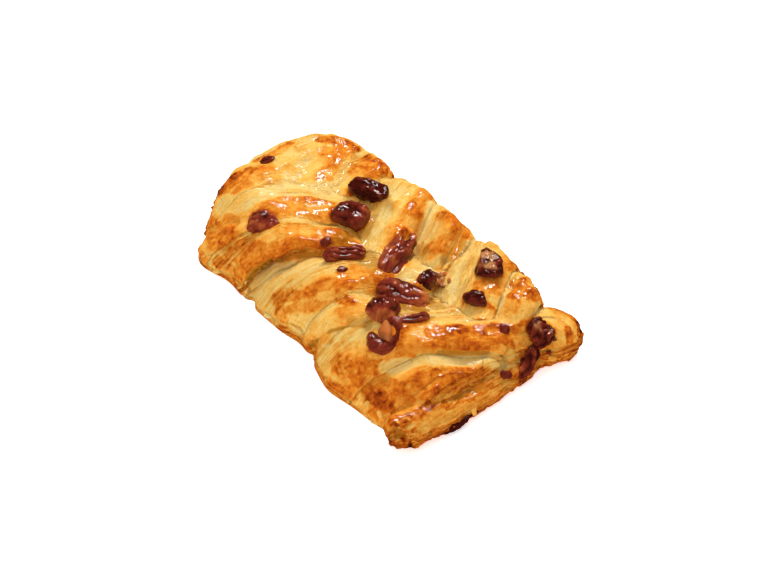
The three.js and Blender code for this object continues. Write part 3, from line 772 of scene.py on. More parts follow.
def drawn_in_at(x, y):
    """How far the sides are drawn in at the notches and the waist, negative where they bulge."""
    left, right = (
        NOTCH * np.max([hump(x, place, NOTCH_WIDTH) for place in places], axis=0)
        for places in (LEFT_NOTCHES, RIGHT_NOTCHES)
    )
    left += LEFT_WAIST * hump(x, LEFT_WAIST_AT, LEFT_WAIST_REACH)
    left -= LEFT_BULGE * hump(x, LEFT_BULGE_AT, LEFT_BULGE_REACH)
    left -= START_BULGE * hump(x, START_BULGE_AT, START_BULGE_REACH)
    right -= RIGHT_BULGE * hump(x, RIGHT_BULGE_AT, RIGHT_BULGE_REACH)
    return np.where(y < 0, left, right)


def plan_of(square_x, square_y, sizes):
    """A place on a square, from -1 to 1 each way, moved to its place in the pastry's outline."""
    on_end = np.abs(square_x) >= np.abs(square_y)
    larger = np.where(on_end, square_x, square_y)
    smaller = np.where(on_end, square_y, square_x)
    facing = np.where(larger < 0, -1.0, 1.0)
    turn = math.pi / 4 * np.divide(smaller, larger, out=np.zeros_like(larger), where=larger != 0)
    cosine = facing * np.where(on_end, np.cos(turn), np.sin(turn))
    sine = facing * np.where(on_end, np.sin(turn), np.cos(turn))
    start_power = START_POWER + (START_LEFT_POWER - START_POWER) * (1 - sine) / 2
    power = start_power + (FINISH_POWER - start_power) * (1 + cosine) / 2
    stretch = np.abs(larger) * (np.abs(cosine) ** power + np.abs(sine) ** power) ** (-1 / power)
    straight = cosine * stretch
    y = sizes.half_width / MM * sine * stretch
    shift = CHEVRON * (CHEVRON_STILL - np.abs(y)) * (1 - straight**2)
    x = straight * np.where(straight < 0, sizes.start_length, sizes.finish_length) / MM + shift
    slant = START_SLANT * (np.maximum(y, START_SLANT_FROM) - START_SLANT_STILL)
    x -= slant * smooth_step(*START_SLANT_SPAN, x)
    y = y - np.sign(y) * drawn_in_at(x, y) * np.abs(sine * stretch) ** DRAWN_IN_POWER
    for draw in DRAWS:
        share = hump(np.hypot(x - draw.place[0], y - draw.place[1]), 0, draw.reach)
        x, y = x + draw.shift[0] * share, y + draw.shift[1] * share
    return x, y


def braid_points(grid, sizes):
    """The points of a flat grid, from -1 to 1 each way, moved to the dough's top and walls."""
    u, v = grid[:, 0], grid[:, 1]
    left = v < 0
    out_x, stand_x, down_x = out_and_down(np.abs(u), END_WALL_SHARE, WALL_ENDS, WALL_POWER)
    out_y, stand_y, down_y = out_and_down(
        np.abs(v), np.where(left, LEFT_WALL_SHARE, RIGHT_WALL_SHARE),
        np.where(left, WALL_LEFT, WALL_RIGHT), np.where(left, LEFT_POWER, WALL_POWER),
    )
    down = np.maximum(down_x, down_y)
    x, y = plan_of(np.sign(u) * out_x, np.sign(v) * out_y, sizes)
    tops, along, behind = strip_tops(x, y)
    top = top_of(tops, sizes.core_top / MM, x) + unevenness(x, y)
    stand = np.minimum(stand_x, stand_y)
    shift = undercut_at(tops, along, behind) * (1 - down**3)
    return np.column_stack((x + shift[0], y + shift[1], top * stand - FOOT * down))


def roll_line(way, share):
    """A smooth line through three places in plan, and its direction."""
    start, middle, end = np.array(way, float)
    knots = np.array((2 * start - middle, start, middle, end, 2 * end - middle))
    first = np.clip(np.floor(share * 2).astype(int), 0, 1)
    t = (share * 2 - first)[:, None]
    a, b, c, d = (knots[first + step] for step in range(4))
    place = b + 0.5 * t * (c - a + t * (2 * a - 5 * b + 4 * c - d + t * (3 * (b - c) + d - a)))
    slope = 0.5 * (c - a + 2 * t * (2 * a - 5 * b + 4 * c - d) + 3 * t**2 * (3 * (b - c) + d - a))
    return place, slope / np.linalg.norm(slope, axis=1)[:, None]


def roll_points(ball, roll):
    """The points of a round ball, moved so that its poles are the two ends of a roll of dough."""
    share = np.arccos(np.clip(ball[:, 2], -1, 1)) / math.pi
    angle = np.arctan2(ball[:, 1], ball[:, 0])
    place, slope = roll_line(roll.way, share)
    radius, top = (np.interp(share, (0, 0.5, 1), values) for values in (roll.radii, roll.tops))
    thickness = radius * (1 - np.abs(2 * share - 1) ** ROLL_END_POWER) ** (1 / ROLL_END_POWER)
    out = np.column_stack((-slope[:, 1], slope[:, 0]))
    plan = place + out * (thickness * np.cos(angle))[:, None]
    return np.column_stack((plan, top - radius + thickness * np.sin(angle)))


# Mesh work


def settings():
    return bpy.context.scene.pastry


def deselect_all():
    bpy.ops.object.select_all(action="DESELECT")


def points_of(mesh):
    points = np.empty(len(mesh.vertices) * 3)
    mesh.vertices.foreach_get("co", points)
    return points.reshape(-1, 3)


def normals_of(mesh):
    normals = np.empty(len(mesh.vertices) * 3, np.float32)
    mesh.vertex_normals.foreach_get("vector", normals)
    return normals.reshape(-1, 3).astype(float)


def move_points(mesh, points):
    mesh.vertices.foreach_set("co", np.ascontiguousarray(points, np.float32).ravel())
    mesh.update()


def set_number(mesh, name, values):
    layer = mesh.attributes.new(name, "FLOAT", "POINT")
    layer.data.foreach_set("value", np.ascontiguousarray(values, np.float32))


def set_vector(mesh, name, values):
    layer = mesh.attributes.new(name, "FLOAT_VECTOR", "POINT")
    layer.data.foreach_set("vector", np.ascontiguousarray(values, np.float32).ravel())


def to_sheet(points):
    """Points in metres as millimetres from the middle of the sheet of dough."""
    return points / MM + np.array((*MIDDLE, 0))


def to_metres(points):
    return (points - np.array((*MIDDLE, 0))) * MM


def apply_modifier(piece, kind, **values):
    """Adds a modifier to a piece and applies it."""
    bpy.context.view_layer.objects.active = piece
    modifier = piece.modifiers.new(kind.title(), kind)
    for name, value in values.items():
        setattr(modifier, name, value)
    bpy.ops.object.modifier_apply(modifier=modifier.name)


def join_by(piece, other, operation):
    """Joins or cuts a piece by another, which is then removed."""
    apply_modifier(piece, "BOOLEAN", operation=operation, solver="MANIFOLD", object=other)
    bpy.data.objects.remove(other)


def settle(piece, slot, material, *nodes):
    """A finished piece: smooth, with its material, riding on the pastry's body."""
    deselect_all()
    piece.select_set(True)
    bpy.context.view_layer.objects.active = piece
    bpy.ops.object.shade_smooth()
    piece.data.materials.clear()
    piece.data.materials.append(material)
    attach(piece, "root")
    if nodes:
        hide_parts(*nodes)


# Nodes of a material


class Nodes:
    """A material's node tree, with a short way to add a node and wire it."""

    def __init__(self, name):
        self.material = bpy.data.materials.new(name)
        self.material.use_nodes = True
        self.tree = self.material.node_tree
        self.shader = self.tree.nodes["Principled BSDF"]

    def add(self, kind, wires=None, **values):
        node = self.tree.nodes.new(kind)
        for name, value in values.items():
            setattr(node, name, value)
        for socket, value in (wires or {}).items():
            self.wire(node.inputs[socket], value)
        return node

    def wire(self, socket, value):
        if isinstance(value, bpy.types.NodeSocket):
            self.tree.links.new(value, socket)
        else:
            socket.default_value = value

    def math(self, operation, *values):
        return self.add("ShaderNodeMath", dict(enumerate(values)), operation=operation).outputs[0]

    def plus(self, first, second):
        return self.math("ADD", first, second)

    def minus(self, first, second):
        return self.math("SUBTRACT", first, second)

    def times(self, first, second):
        return self.math("MULTIPLY", first, second)

    def number(self, name):
        return self.add("ShaderNodeAttribute", attribute_name=name).outputs["Fac"]

    def vector(self, name):
        return self.add("ShaderNodeAttribute", attribute_name=name).outputs["Vector"]

    def noise(self, vector, scale, detail=3, roughness=0.55):
        wires = {"Vector": vector, "Scale": scale, "Detail": detail, "Roughness": roughness}
        return self.add("ShaderNodeTexNoise", wires).outputs["Fac"]

    def stretched(self, vector, scale):
        return self.add("ShaderNodeMapping", {"Vector": vector, "Scale": scale}).outputs["Vector"]

    def ramp(self, value, stops):
        node = self.add("ShaderNodeValToRGB", {"Fac": value})
        elements = node.color_ramp.elements
        elements[0].position, elements[-1].position = stops[0][0], stops[-1][0]
        for place, _ in stops[1:-1]:
            elements.new(place)
        for element, (_, colour) in zip(elements, stops):
            element.color = (*colour, 1)
        return node.outputs["Color"]

    def mix(self, share, first, second):
        node = self.add("ShaderNodeMix", data_type="RGBA")
        self.wire(node.inputs["Factor"], share)
        colours = [s for s in node.inputs if s.type == "RGBA"]
        for socket, value in zip(colours, (first, second)):
            self.wire(socket, value if isinstance(value, bpy.types.NodeSocket) else (*value, 1))
        return next(s for s in node.outputs if s.type == "RGBA")

    def bump(self, height, distance, strength, normal=None):
        wires = {"Height": height, "Distance": distance, "Strength": strength}
        if normal is not None:
            wires["Normal"] = normal
        return self.add("ShaderNodeBump", wires).outputs["Normal"]

    def set_all(self, **values):
        """Sets inputs of the shader that are the same all over, named with _ for each space."""
        for name, value in values.items():
            self.shader.inputs[name.replace("_", " ")].default_value = value

    def wire_all(self, **values):
        """Wires inputs of the shader, named in the same way."""
        for name, value in values.items():
            self.wire(self.shader.inputs[name.replace("_", " ")], value)


def dough_material():
    """Baked dough: cream to dark brown, streaked by its layers, under a patchy clear glaze."""
    colours = settings().colours
    nodes = Nodes("glazed_dough")
    place = nodes.add("ShaderNodeTexCoord").outputs["Object"]
    strip = nodes.vector("strip")
    fine = nodes.noise(place, scale=900, detail=4, roughness=0.6)
    broad = nodes.noise(place, scale=260)
    streak = nodes.noise(nodes.stretched(strip, (0.1, 1.7, 1)), scale=1, detail=5, roughness=0.78)
    layered = nodes.times(nodes.number("layers"), nodes.minus(streak, 0.5))
    folded = nodes.noise(nodes.stretched(strip, (0.3, 0.9, 1)), scale=1, detail=2)
    wrinkled = nodes.math("ABSOLUTE", nodes.minus(folded, 0.5))
    mottled = nodes.plus(nodes.times(fine, 0.44), nodes.times(broad, 0.16))
    level = nodes.plus(nodes.number("bake"), nodes.minus(mottled, 0.3))
    level = nodes.plus(level, nodes.times(layered, 1.35))
    level = nodes.plus(level, nodes.minus(0.035, nodes.times(wrinkled, 0.5)))
    stops = (
        (0.0, colours.pale), (0.2, colours.cream), (0.42, colours.gold), (0.6, colours.orange),
        (0.76, colours.brown), (0.9, colours.dark), (1.0, colours.burnt),
    )
    specks = nodes.math("GREATER_THAN", nodes.noise(place, scale=950, detail=1), 0.76)
    specked = nodes.mix(nodes.times(specks, 0.6), nodes.ramp(level, stops), tuple(colours.dark))
    # Painted shade: the colour is drawn towards the shade colour in dips, deep folds and other shaded places
    shaded = nodes.mix(nodes.times(nodes.number("painted_shade"), 0.9), specked, tuple(colours.shade))
    wet = nodes.number("wet")
    patchy = nodes.ramp(nodes.noise(place, scale=170, detail=2), ((0.35, (0, 0, 0)), (0.6, (1, 1, 1))))
    grain = nodes.bump(fine, distance=0.0004, strength=0.8)
    grain = nodes.bump(layered, distance=0.0008, strength=0.9, normal=grain)
    grain = nodes.bump(wrinkled, distance=0.0014, strength=0.8, normal=grain)
    crinkle = nodes.bump(nodes.noise(place, 420, detail=1, roughness=0.5), distance=0.0004, strength=0.8)
    nodes.wire_all(
        Base_Color=shaded, Normal=grain, Coat_Normal=crinkle,
        Coat_Weight=nodes.times(wet, patchy), Roughness=nodes.minus(0.62, nodes.times(wet, 0.2)),
    )
    nodes.set_all(
        Coat_Roughness=0.02, Coat_IOR=1.6, Specular_IOR_Level=0,
        Subsurface_Weight=0.12, Subsurface_Scale=0.002, Subsurface_Radius=(1, 0.5, 0.2),
    )
    return nodes.material


def pecan_material():
    """Toasted pecan under clear glaze: dark in its grooves, tan where it is broken."""
    colours = settings().colours
    nodes = Nodes("glazed_pecan")
    place = nodes.add("ShaderNodeTexCoord").outputs["Object"]
    fine = nodes.noise(place, scale=1100, detail=4, roughness=0.6)
    tone = nodes.plus(nodes.number("tone"), nodes.times(nodes.minus(fine, 0.5), 0.5))
    stops = ((0.05, colours.pecan_dark), (0.45, colours.pecan_brown), (0.95, colours.pecan_amber))
    inside = nodes.mix(nodes.times(fine, 0.9), tuple(colours.pecan_tan), tuple(colours.pecan_brown))
    nodes.wire_all(
        Base_Color=nodes.mix(nodes.number("broken"), nodes.ramp(tone, stops), inside),
        Normal=nodes.bump(fine, distance=0.0003, strength=0.5),
        Coat_Normal=nodes.bump(nodes.noise(place, scale=600, detail=1), distance=0.0003, strength=0.6),
    )
    nodes.set_all(Roughness=0.5, Coat_Weight=0.7, Coat_Roughness=0.03, Coat_IOR=1.5, Specular_IOR_Level=0)
    return nodes.material


def floor_material():
    """A pale floor that glows a little, so that it stays white."""
    nodes = Nodes("white_floor")
    place = nodes.add("ShaderNodeTexCoord").outputs["Object"]
    white = settings().stage.floor
    shade = nodes.mix(nodes.noise(place, scale=3), tuple(white), tuple(channel * 0.98 for channel in white))
    nodes.wire_all(Base_Color=shade, Emission_Color=shade)
    nodes.set_all(Emission_Strength=0.6, Roughness=0.9, Specular_IOR_Level=0)
    return nodes.material


# Pecans


def nut_frame(points):
    """A nut's middle, and its length, width and height as directions with half sizes."""
    middle = (points.min(axis=0) + points.max(axis=0)) / 2
    axes = np.linalg.eigh(np.cov((points - middle).T))[1].T[::-1]
    lengthwise = axes[0] * (1 if axes[0][0] >= 0 else -1)
    up = axes[2] * (1 if axes[2][2] >= 0 else -1)
    axes = np.array((lengthwise, np.cross(up, lengthwise), up))
    return middle, axes, np.abs((points - middle) @ axes.T).max(axis=0)


def fork(local, nut):
    """Draws the middle of one end in, so that two horns are left there."""
    aside = local[:, 1] - FORK_MIDDLE
    end = smooth_step(*FORK_SPAN, -local[:, 0]) * np.clip(1 - np.abs(aside) / FORK_WIDTH, 0, 1)
    local[:, 0] += nut.fork * end
    local[:, 1] -= FORK_SPREAD * nut.fork * smooth_step(*HORN_SPAN, -local[:, 0]) * np.sign(aside)


def turned(axes, degrees):
    """Directions, turned about the upright axis."""
    turn = math.radians(degrees)
    sine, cosine = math.sin(turn), math.cos(turn)
    return axes @ np.array(((cosine, sine, 0), (-sine, cosine, 0), (0, 0, 1)))


def break_off(local, count, seed):
    """Takes flat breaks off a nut, facing all ways."""
    draw = np.random.default_rng(seed)
    for step in range(count):
        level = 1 - (2 * step + 1) / count
        turn = BREAK_TURN * step + draw.uniform(-BREAK_SWAY, BREAK_SWAY)
        flat = math.sqrt(1 - level**2)
        facing = np.array((flat * math.cos(turn), flat * math.sin(turn), level))
        beyond = local @ facing
        beyond -= draw.uniform(*BREAK_SHARES) * beyond.max()
        local -= BREAK_FLATNESS * np.outer(np.maximum(beyond, 0), facing)


def ribs_at(local, nut, seed):
    """Rounded ribs along a nut: 0 on their backs, down to -1 in the grooves between them."""
    drift = sum(sway * np.sin(wave * local[:, 0] + step * seed) for sway, wave, step in RIB_WAVES)
    angle = np.arctan2(local[:, 2], local[:, 1]) + drift
    ribs = np.abs(np.sin(nut.ribs * angle / 2 + 0.7 * seed)) - 1
    return ribs * np.sqrt(np.clip(1 - local[:, 0] ** 2, 0, 1))


def creases_at(places, seed):
    """Creases of the skin in two sizes, drawn out along the nut, about 0 on average."""
    places = places * np.array(CREASE_DRAWN)
    creases = -CREASE_MIDDLE
    for share, size, own_seed in zip(CREASE_SHARES, CREASE_SIZES, CREASE_SEEDS):
        creases = creases + share * np.abs(noise_at(places, size, seed + own_seed))
    return creases


def wrinkle(piece, nut, seed):
    """Shapes a nut's form and skin, and keeps its tones and broken faces for the material."""
    points = points_of(piece.data) / MM
    middle, axes, reach = nut_frame(points_of(frame["nodes"][nut.node].data) / MM)
    local = (points - middle) @ axes.T / reach
    reach = reach * np.array(nut.size)
    middle = middle + np.array((*nut.shift, 0))
    axes = turned(axes, nut.turn)
    fork(local, nut)
    break_off(local, nut.breaks, seed)
    local[:, 1] *= 1 + nut.taper * (local[:, 0] - 1) / 2
    local /= np.abs(local).max(axis=0)
    points = local * reach @ axes + middle
    move_points(piece.data, points * MM)
    ribs = ribs_at(local, nut, seed)
    creases = creases_at((points - middle) @ axes.T, seed)
    lumps = mixed_noise(points, (SKIN_LAYERS["lumps"],), seed)
    height = nut.rib_depth * (ribs + RIB_LIFT) + CREASE_DEPTH * creases + lumps
    points = points + normals_of(piece.data) * height[:, None]
    move_points(piece.data, points * MM)
    mottle = mixed_noise(points, (SKIN_LAYERS["mottle"],), seed)
    tone = nut.tone + RIB_TONE * ribs + CREASE_TONE * creases + mottle
    tone += nut.tip * smooth_step(*TIP_SPAN, local[:, 0])
    broken = local[:, 2] + mixed_noise(points, (SKIN_LAYERS["breaks"],), seed) - nut.whole
    set_number(piece.data, "tone", np.clip(tone, 0, 1))
    set_number(piece.data, "broken", smooth_step(*INSIDE_SPAN, broken))


def copy_of_node(node):
    """A copy of a solid as one closed, rounded mesh with many faces."""
    piece = bpy.data.objects.new(node + "_glazed", frame["nodes"][node].data.copy())
    bpy.context.scene.collection.objects.link(piece)
    deselect_all()
    piece.select_set(True)
    bpy.context.view_layer.objects.active = piece
    bpy.ops.object.mode_set(mode="EDIT")
    bpy.ops.mesh.select_all(action="SELECT")
    bpy.ops.mesh.remove_doubles(threshold=1e-6)
    bpy.ops.mesh.tris_convert_to_quads()
    bpy.ops.object.mode_set(mode="OBJECT")
    apply_modifier(piece, "SUBSURF", levels=3, render_levels=3)
    return piece


class PASTRY_OT_pecans(bpy.types.Operator):
    """Sets the glazed pecans in the places of their solids"""

    bl_idname = "pastry.set_pecans"
    bl_label = "Set the pecans"

    def execute(self, context):
        material = pecan_material()
        for seed, nut in enumerate(NUTS):
            piece = copy_of_node(nut.node)
            wrinkle(piece, nut, seed)
            settle(piece, "pecan", material, nut.node)
        return {"FINISHED"}


# Dough


def add_braid(sizes):
    """The sheet of dough: a grid drawn out to its top and walls, closed below."""
    bpy.ops.mesh.primitive_grid_add(x_subdivisions=CELLS_ALONG, y_subdivisions=CELLS_ACROSS, size=2)
    piece = bpy.context.object
    move_points(piece.data, braid_points(points_of(piece.data), sizes))
    bpy.ops.object.mode_set(mode="EDIT")
    bpy.ops.mesh.select_all(action="DESELECT")
    bpy.ops.mesh.select_mode(type="EDGE")
    bpy.ops.mesh.select_non_manifold()
    bpy.ops.mesh.extrude_region_move(TRANSFORM_OT_translate={"value": (0, 0, -SKIRT)})
    bpy.ops.mesh.edge_face_add()
    bpy.ops.mesh.select_all(action="SELECT")
    bpy.ops.mesh.normals_make_consistent(inside=False)
    bpy.ops.object.mode_set(mode="OBJECT")
    return piece


def add_roll(roll):
    """A piece of dough along a line, from a ball drawn out from pole to pole."""
    deselect_all()
    bpy.ops.mesh.primitive_uv_sphere_add(segments=ROLL_SIDES, ring_count=ROLL_RINGS, radius=1)
    piece = bpy.context.object
    move_points(piece.data, roll_points(points_of(piece.data), roll))
    bpy.ops.object.mode_set(mode="EDIT")
    bpy.ops.mesh.select_all(action="SELECT")
    bpy.ops.mesh.normals_make_consistent(inside=False)
    bpy.ops.object.mode_set(mode="OBJECT")
    return piece


def add_hollow():
    """The uneven lump that is taken out of the end of the roll."""
    deselect_all()
    bpy.ops.mesh.primitive_ico_sphere_add(subdivisions=4, radius=0.5)
    piece = bpy.context.object
    points = points_of(piece.data)
    points *= 1 + mixed_noise(points, HOLLOW_LUMPS)[:, None]
    move_points(piece.data, points * np.array(HOLLOW_SIZE) + np.array(HOLLOW_PLACE))
    return piece


def trim_below(piece):
    """Cuts a piece off flat at the surface that it lies on."""
    deselect_all()
    piece.select_set(True)
    bpy.context.view_layer.objects.active = piece
    bpy.ops.object.mode_set(mode="EDIT")
    bpy.ops.mesh.select_all(action="SELECT")
    bpy.ops.mesh.bisect(plane_co=(0, 0, 0), plane_no=(0, 0, 1), use_fill=True, clear_inner=True)
    bpy.ops.object.mode_set(mode="OBJECT")


def pecan_distance(points):
    """Distance in millimetres from each point of the sheet to the nearest pecan."""
    spots = np.concatenate([points_of(bpy.data.objects[nut.node + "_glazed"].data) for nut in NUTS])
    tree = kdtree.KDTree(len(spots))
    for index, spot in enumerate(to_sheet(spots)):
        tree.insert(spot, index)
    tree.balance()
    return np.array([tree.find(point)[2] for point in points])


def line_distance(points, patch):
    """Distance of each point from the line of a patch."""
    start, run = np.array(patch.start, float), np.subtract(patch.end, patch.start).astype(float)
    share = np.clip((points - start) @ run / (run @ run), 0, 1)
    return np.linalg.norm(points - start - np.outer(share, run), axis=1)


def depth_below(mesh, points, normals, rounds):
    """How far each point lies below the average of those around it, negative on ridges."""
    ends = np.empty(len(mesh.edges) * 2, np.int32)
    mesh.edges.foreach_get("vertices", ends)
    first, second = ends.reshape(-1, 2).T
    size = len(points)
    count = np.bincount(first, minlength=size) + np.bincount(second, minlength=size)
    average = points.T.copy()
    for _ in range(rounds):
        for row in average:
            total = np.bincount(first, row[second], size) + np.bincount(second, row[first], size)
            row[:] = (row + total / count) / 2
    return ((average.T - points) * normals).sum(axis=1)


class Baked:
    """What a place on the dough is like: which strip it is on, how far down a wall and how far baked."""

    def __init__(self, points, normals, sizes):
        self.points = points
        x, y, z = points.T
        tops, along, behind = strip_tops(x, y)
        best = tops.argmax(axis=0)
        rows = np.arange(len(points))
        self.behind = behind[best, rows]
        strip = np.column_stack((along[best, rows], self.behind, STRIP_APART * best))
        start = np.column_stack((y, x, np.full(len(x), -STRIP_APART)))
        self.strip = np.where(np.isin(best, START_STRIPS)[:, None], start, strip)
        far = np.array([strip.far for strip in STRIPS])[best]
        up = normals[:, 2]
        below = top_of(tops, sizes.core_top / MM, x) + unevenness(x, y) - z
        self.wall = smooth_step(*WALL_DEPTHS, below) * smooth_step(*WALL_TILTS, up)
        self.slope = smooth_step(*SLOPE_SHARES, self.behind / far) * (1 - self.wall)
        ways = DIP_REACH * np.array([(math.cos(a), math.sin(a)) for a in np.arange(8) * math.pi / 4])
        around = np.mean([top_at(x + way[0], y + way[1]) for way in ways], axis=0)
        self.hollow = smooth_step(*DIP_DEPTHS, around - top_at(x, y)) * (1 - self.wall)
        self.rim = smooth_step(*RIM_HEIGHTS, z) * smooth_step(*RIM_TILTS, up) * smooth_step(*RIM_FEET, z)
        self.roll = smooth_step(*ROLL_ALONG, x) * smooth_step(*ROLL_ACROSS, y)
        self.torn = self.roll * smooth_step(*TORN_ACROSS, y)
        self.nose = smooth_step(*NOSE_REACHES, self.behind) * (1 - self.wall)

    def laid(self, patches, level):
        """A level over the dough, with each patch laid over it in turn."""
        ragged = mixed_noise(self.points, RAGGED_EDGES)
        for patch in patches:
            near = line_distance(self.points, patch) + ragged * min(1, patch.reach / 4)
            share = smooth_step(patch.reach, 0.5 * patch.reach, near)
            level = level + share * (patch.bake - level)
        return level

    def bake(self):
        """How far the dough is baked, browner on the ridges and walls, with the patches over that, some
        painted light and shade.
        """
        ridge = hump(self.behind, RIDGE_PLACE, RIDGE_REACH)
        level = BAKE_BASE + BAKE_RIDGE * ridge * (1 - self.wall) + BAKE_NOSE * self.nose
        level = level * (1 - self.wall) + BAKE_WALL * self.wall
        level = self.laid(PATCHES, level) + mixed_noise(self.points, BAKE_DRIFT)
        level += mixed_noise(self.points, TORN_SPOTS) * self.torn
        return np.clip(level, *BAKE_RANGE)


def veins_at(points):
    """Thin lines where the baked skin has cracked into plates, from 0 to 1."""
    lines = [share * hump(noise_at(points, scale, seed), 0, VEIN_WIDTH) for share, scale, seed in VEINS]
    return np.max(lines, axis=0)


def relief(baked, level, sizes):
    """Height of the relief, in millimetres, over the bare form."""
    points = baked.points
    layers = sizes.layer_depth / MM * drawn_noise(baked.strip, STREAKS) * baked.slope
    wave = np.sin(2 * math.pi * (points[:, 2] / LAYER_THICKNESS + mixed_noise(points, LAYER_DRIFT)))
    flakes = sizes.flake_depth / MM * (wave + drawn_noise(points, WALL_TEARS)) * baked.wall
    blistered = BLISTERS_ANYWHERE + (1 - BLISTERS_ANYWHERE) * smooth_step(*BROWNED, level)
    blisters = sizes.blister_depth / MM * mixed_noise(points, BLISTERS) * blistered
    cracked = sizes.crack_depth / MM * veins_at(points) * smooth_step(*CRACKED, level)
    folds = drawn_noise(baked.strip, FOLDS) + mixed_noise(points, SKIN_LUMPS)
    crumbs = mixed_noise(points, TORN_CRUMBS) * baked.torn
    lumps = mixed_noise(points, WALL_LUMPS) * baked.wall
    return layers + flakes + blisters + cracked + crumbs + lumps + folds * (1 - baked.wall)


def form_dough(sizes):
    """The bare dough: the sheet and its rolls as one closed mesh, cut off flat below."""
    deselect_all()
    piece = add_braid(sizes)
    piece.name = "braided_dough"
    for roll in ROLLS:
        join_by(piece, add_roll(roll), "UNION")
    join_by(piece, add_hollow(), "DIFFERENCE")
    apply_modifier(piece, "REMESH", mode="VOXEL", voxel_size=VOXEL)
    apply_modifier(piece, "SMOOTH", factor=0.5, iterations=SMOOTH_ROUNDS)
    trim_below(piece)
    return piece


def grain_at(baked, points):
    """Places along and across the strips, or up the walls and round the roll, for the layers' grain."""
    strip = baked.strip.copy()
    strip[:, 1] = np.where(baked.wall > 0.5, points[:, 2] * WALL_GRAIN, strip[:, 1])
    x, y, z = points.T
    rolled = np.column_stack((y, z - ROLL_GRAIN * x, np.full(len(points), 10 * STRIP_APART)))
    return np.where(baked.roll[:, None] > 0.5, rolled, strip)


def bake_dough(mesh, sizes):
    """Gives the bare dough its relief, brings it to metres and keeps its looks for the material."""
    points = points_of(mesh)
    baked = Baked(points, normals_of(mesh), sizes)
    level = baked.bake()
    touching = pecan_distance(points)
    height = relief(baked, level, sizes) + NUT_SEAT * hump(touching, 0, NUT_SEAT_REACH)
    height *= smooth_step(*RELIEF_FEET, points[:, 2])
    level -= VEIN_PALENESS * veins_at(points) * smooth_step(*VEINED, level)
    points = points + normals_of(mesh) * height[:, None]
    move_points(mesh, points)
    normals = normals_of(mesh)
    fine, fold = (depth_below(mesh, points, normals, rounds) for rounds in (FINE_ROUNDS, FOLD_ROUNDS))
    move_points(mesh, to_metres(points))
    level -= FINE_BAKE * np.clip(fine, *FINE_DEPTHS) + FOLD_BAKE * np.clip(fold, *FOLD_DEPTHS)
    by_nut = BAKE_BY_NUT * hump(touching, 0, BAKE_BY_NUT_REACH)
    set_number(mesh, "bake", np.clip(level + by_nut, *BAKE_RANGE))
    pale = smooth_step(*LAYERS_WHERE_PALE, level)
    layers = (baked.slope, LAYERS_ON_WALL * baked.wall, LAYERS_ON_ROLL * baked.roll, pale)
    set_number(mesh, "layers", np.max(layers, axis=0))
    # Painted shade in dips and deep folds, where shade falls, with the painted-shade patches laid over it
    shade = np.maximum(SHADE_IN_DIPS * baked.hollow, SHADE_IN_FOLDS * smooth_step(*SHADE_DEPTHS, fold))
    set_number(mesh, "painted_shade", baked.laid(SHADES, shade))
    glazed = np.clip(GLAZE_LEAST + GLAZE_ON_BROWN * smooth_step(*BROWNED, level), 0, 1)
    wet = glazed * smooth_step(*GLAZE_TILTS, normals[:, 2])
    set_number(mesh, "wet", wet * (1 - ROLL_DRYNESS * baked.roll))
    set_vector(mesh, "strip", grain_at(baked, points))
    loose = LOOSE_ANYWHERE + baked.wall * smooth_step(*LOOSE_HEIGHTS, points[:, 2]) + baked.rim
    set_number(mesh, "loose", loose)


class PASTRY_OT_dough(bpy.types.Operator):
    """Lays the braided dough, baked and glazed, in place of its solid"""

    bl_idname = "pastry.lay_dough"
    bl_label = "Lay the dough"

    def execute(self, context):
        sizes = settings().dough
        piece = form_dough(sizes)
        bake_dough(piece.data, sizes)
        settle(piece, "dough", dough_material(), "dough")
        return {"FINISHED"}


# Bits of nut, the burnt drip and flakes


def surface_at(x, y):
    """The place on the dough under a place in plan, and its normal, in millimetres."""
    dough = bpy.data.objects["braided_dough"]
    above = Vector(to_metres(np.array((x, y, 100.0))))
    hit, place, normal, _ = dough.ray_cast(above, Vector((0, 0, -1)))
    if not hit:
        raise ValueError(f"there is no dough under {x}, {y}")
    return to_sheet(np.array(place)), np.array(normal)


def lying_on(normal, heading):
    """Directions of a piece's length, width and height where it lies on a slope."""
    turn = math.radians(heading)
    lengthwise = np.array((math.cos(turn), math.sin(turn), 0))
    lengthwise -= normal * (lengthwise @ normal)
    lengthwise /= np.linalg.norm(lengthwise)
    return np.array((lengthwise, np.cross(normal, lengthwise), normal))


def join_all(pieces, name):
    """Joins pieces into one mesh, in the first of them."""
    deselect_all()
    for piece in pieces:
        piece.select_set(True)
    bpy.context.view_layer.objects.active = pieces[0]
    bpy.ops.object.join()
    pieces[0].name = name
    return pieces[0]


def add_bit(place, axes, size, seed, tone, inside):
    """A small broken bit of nut, from a ball: uneven all over, with a few flat breaks."""
    deselect_all()
    bpy.ops.mesh.primitive_uv_sphere_add(segments=28, ring_count=18, radius=0.5)
    piece = bpy.context.object
    ball = points_of(piece.data)
    lumps = mixed_noise(ball, BIT_LUMPS, seed)
    break_off(ball, BIT_BREAKS, seed)
    local = ball * (1 + lumps)[:, None] * np.array(size)
    move_points(piece.data, to_metres(local @ axes + place))
    set_number(piece.data, "tone", np.clip(tone + BIT_TONE * lumps, 0, 1))
    broken = smooth_step(*BIT_INSIDE_SPAN, mixed_noise(ball, BIT_INSIDE, seed))
    set_number(piece.data, "broken", inside * broken)
    return piece


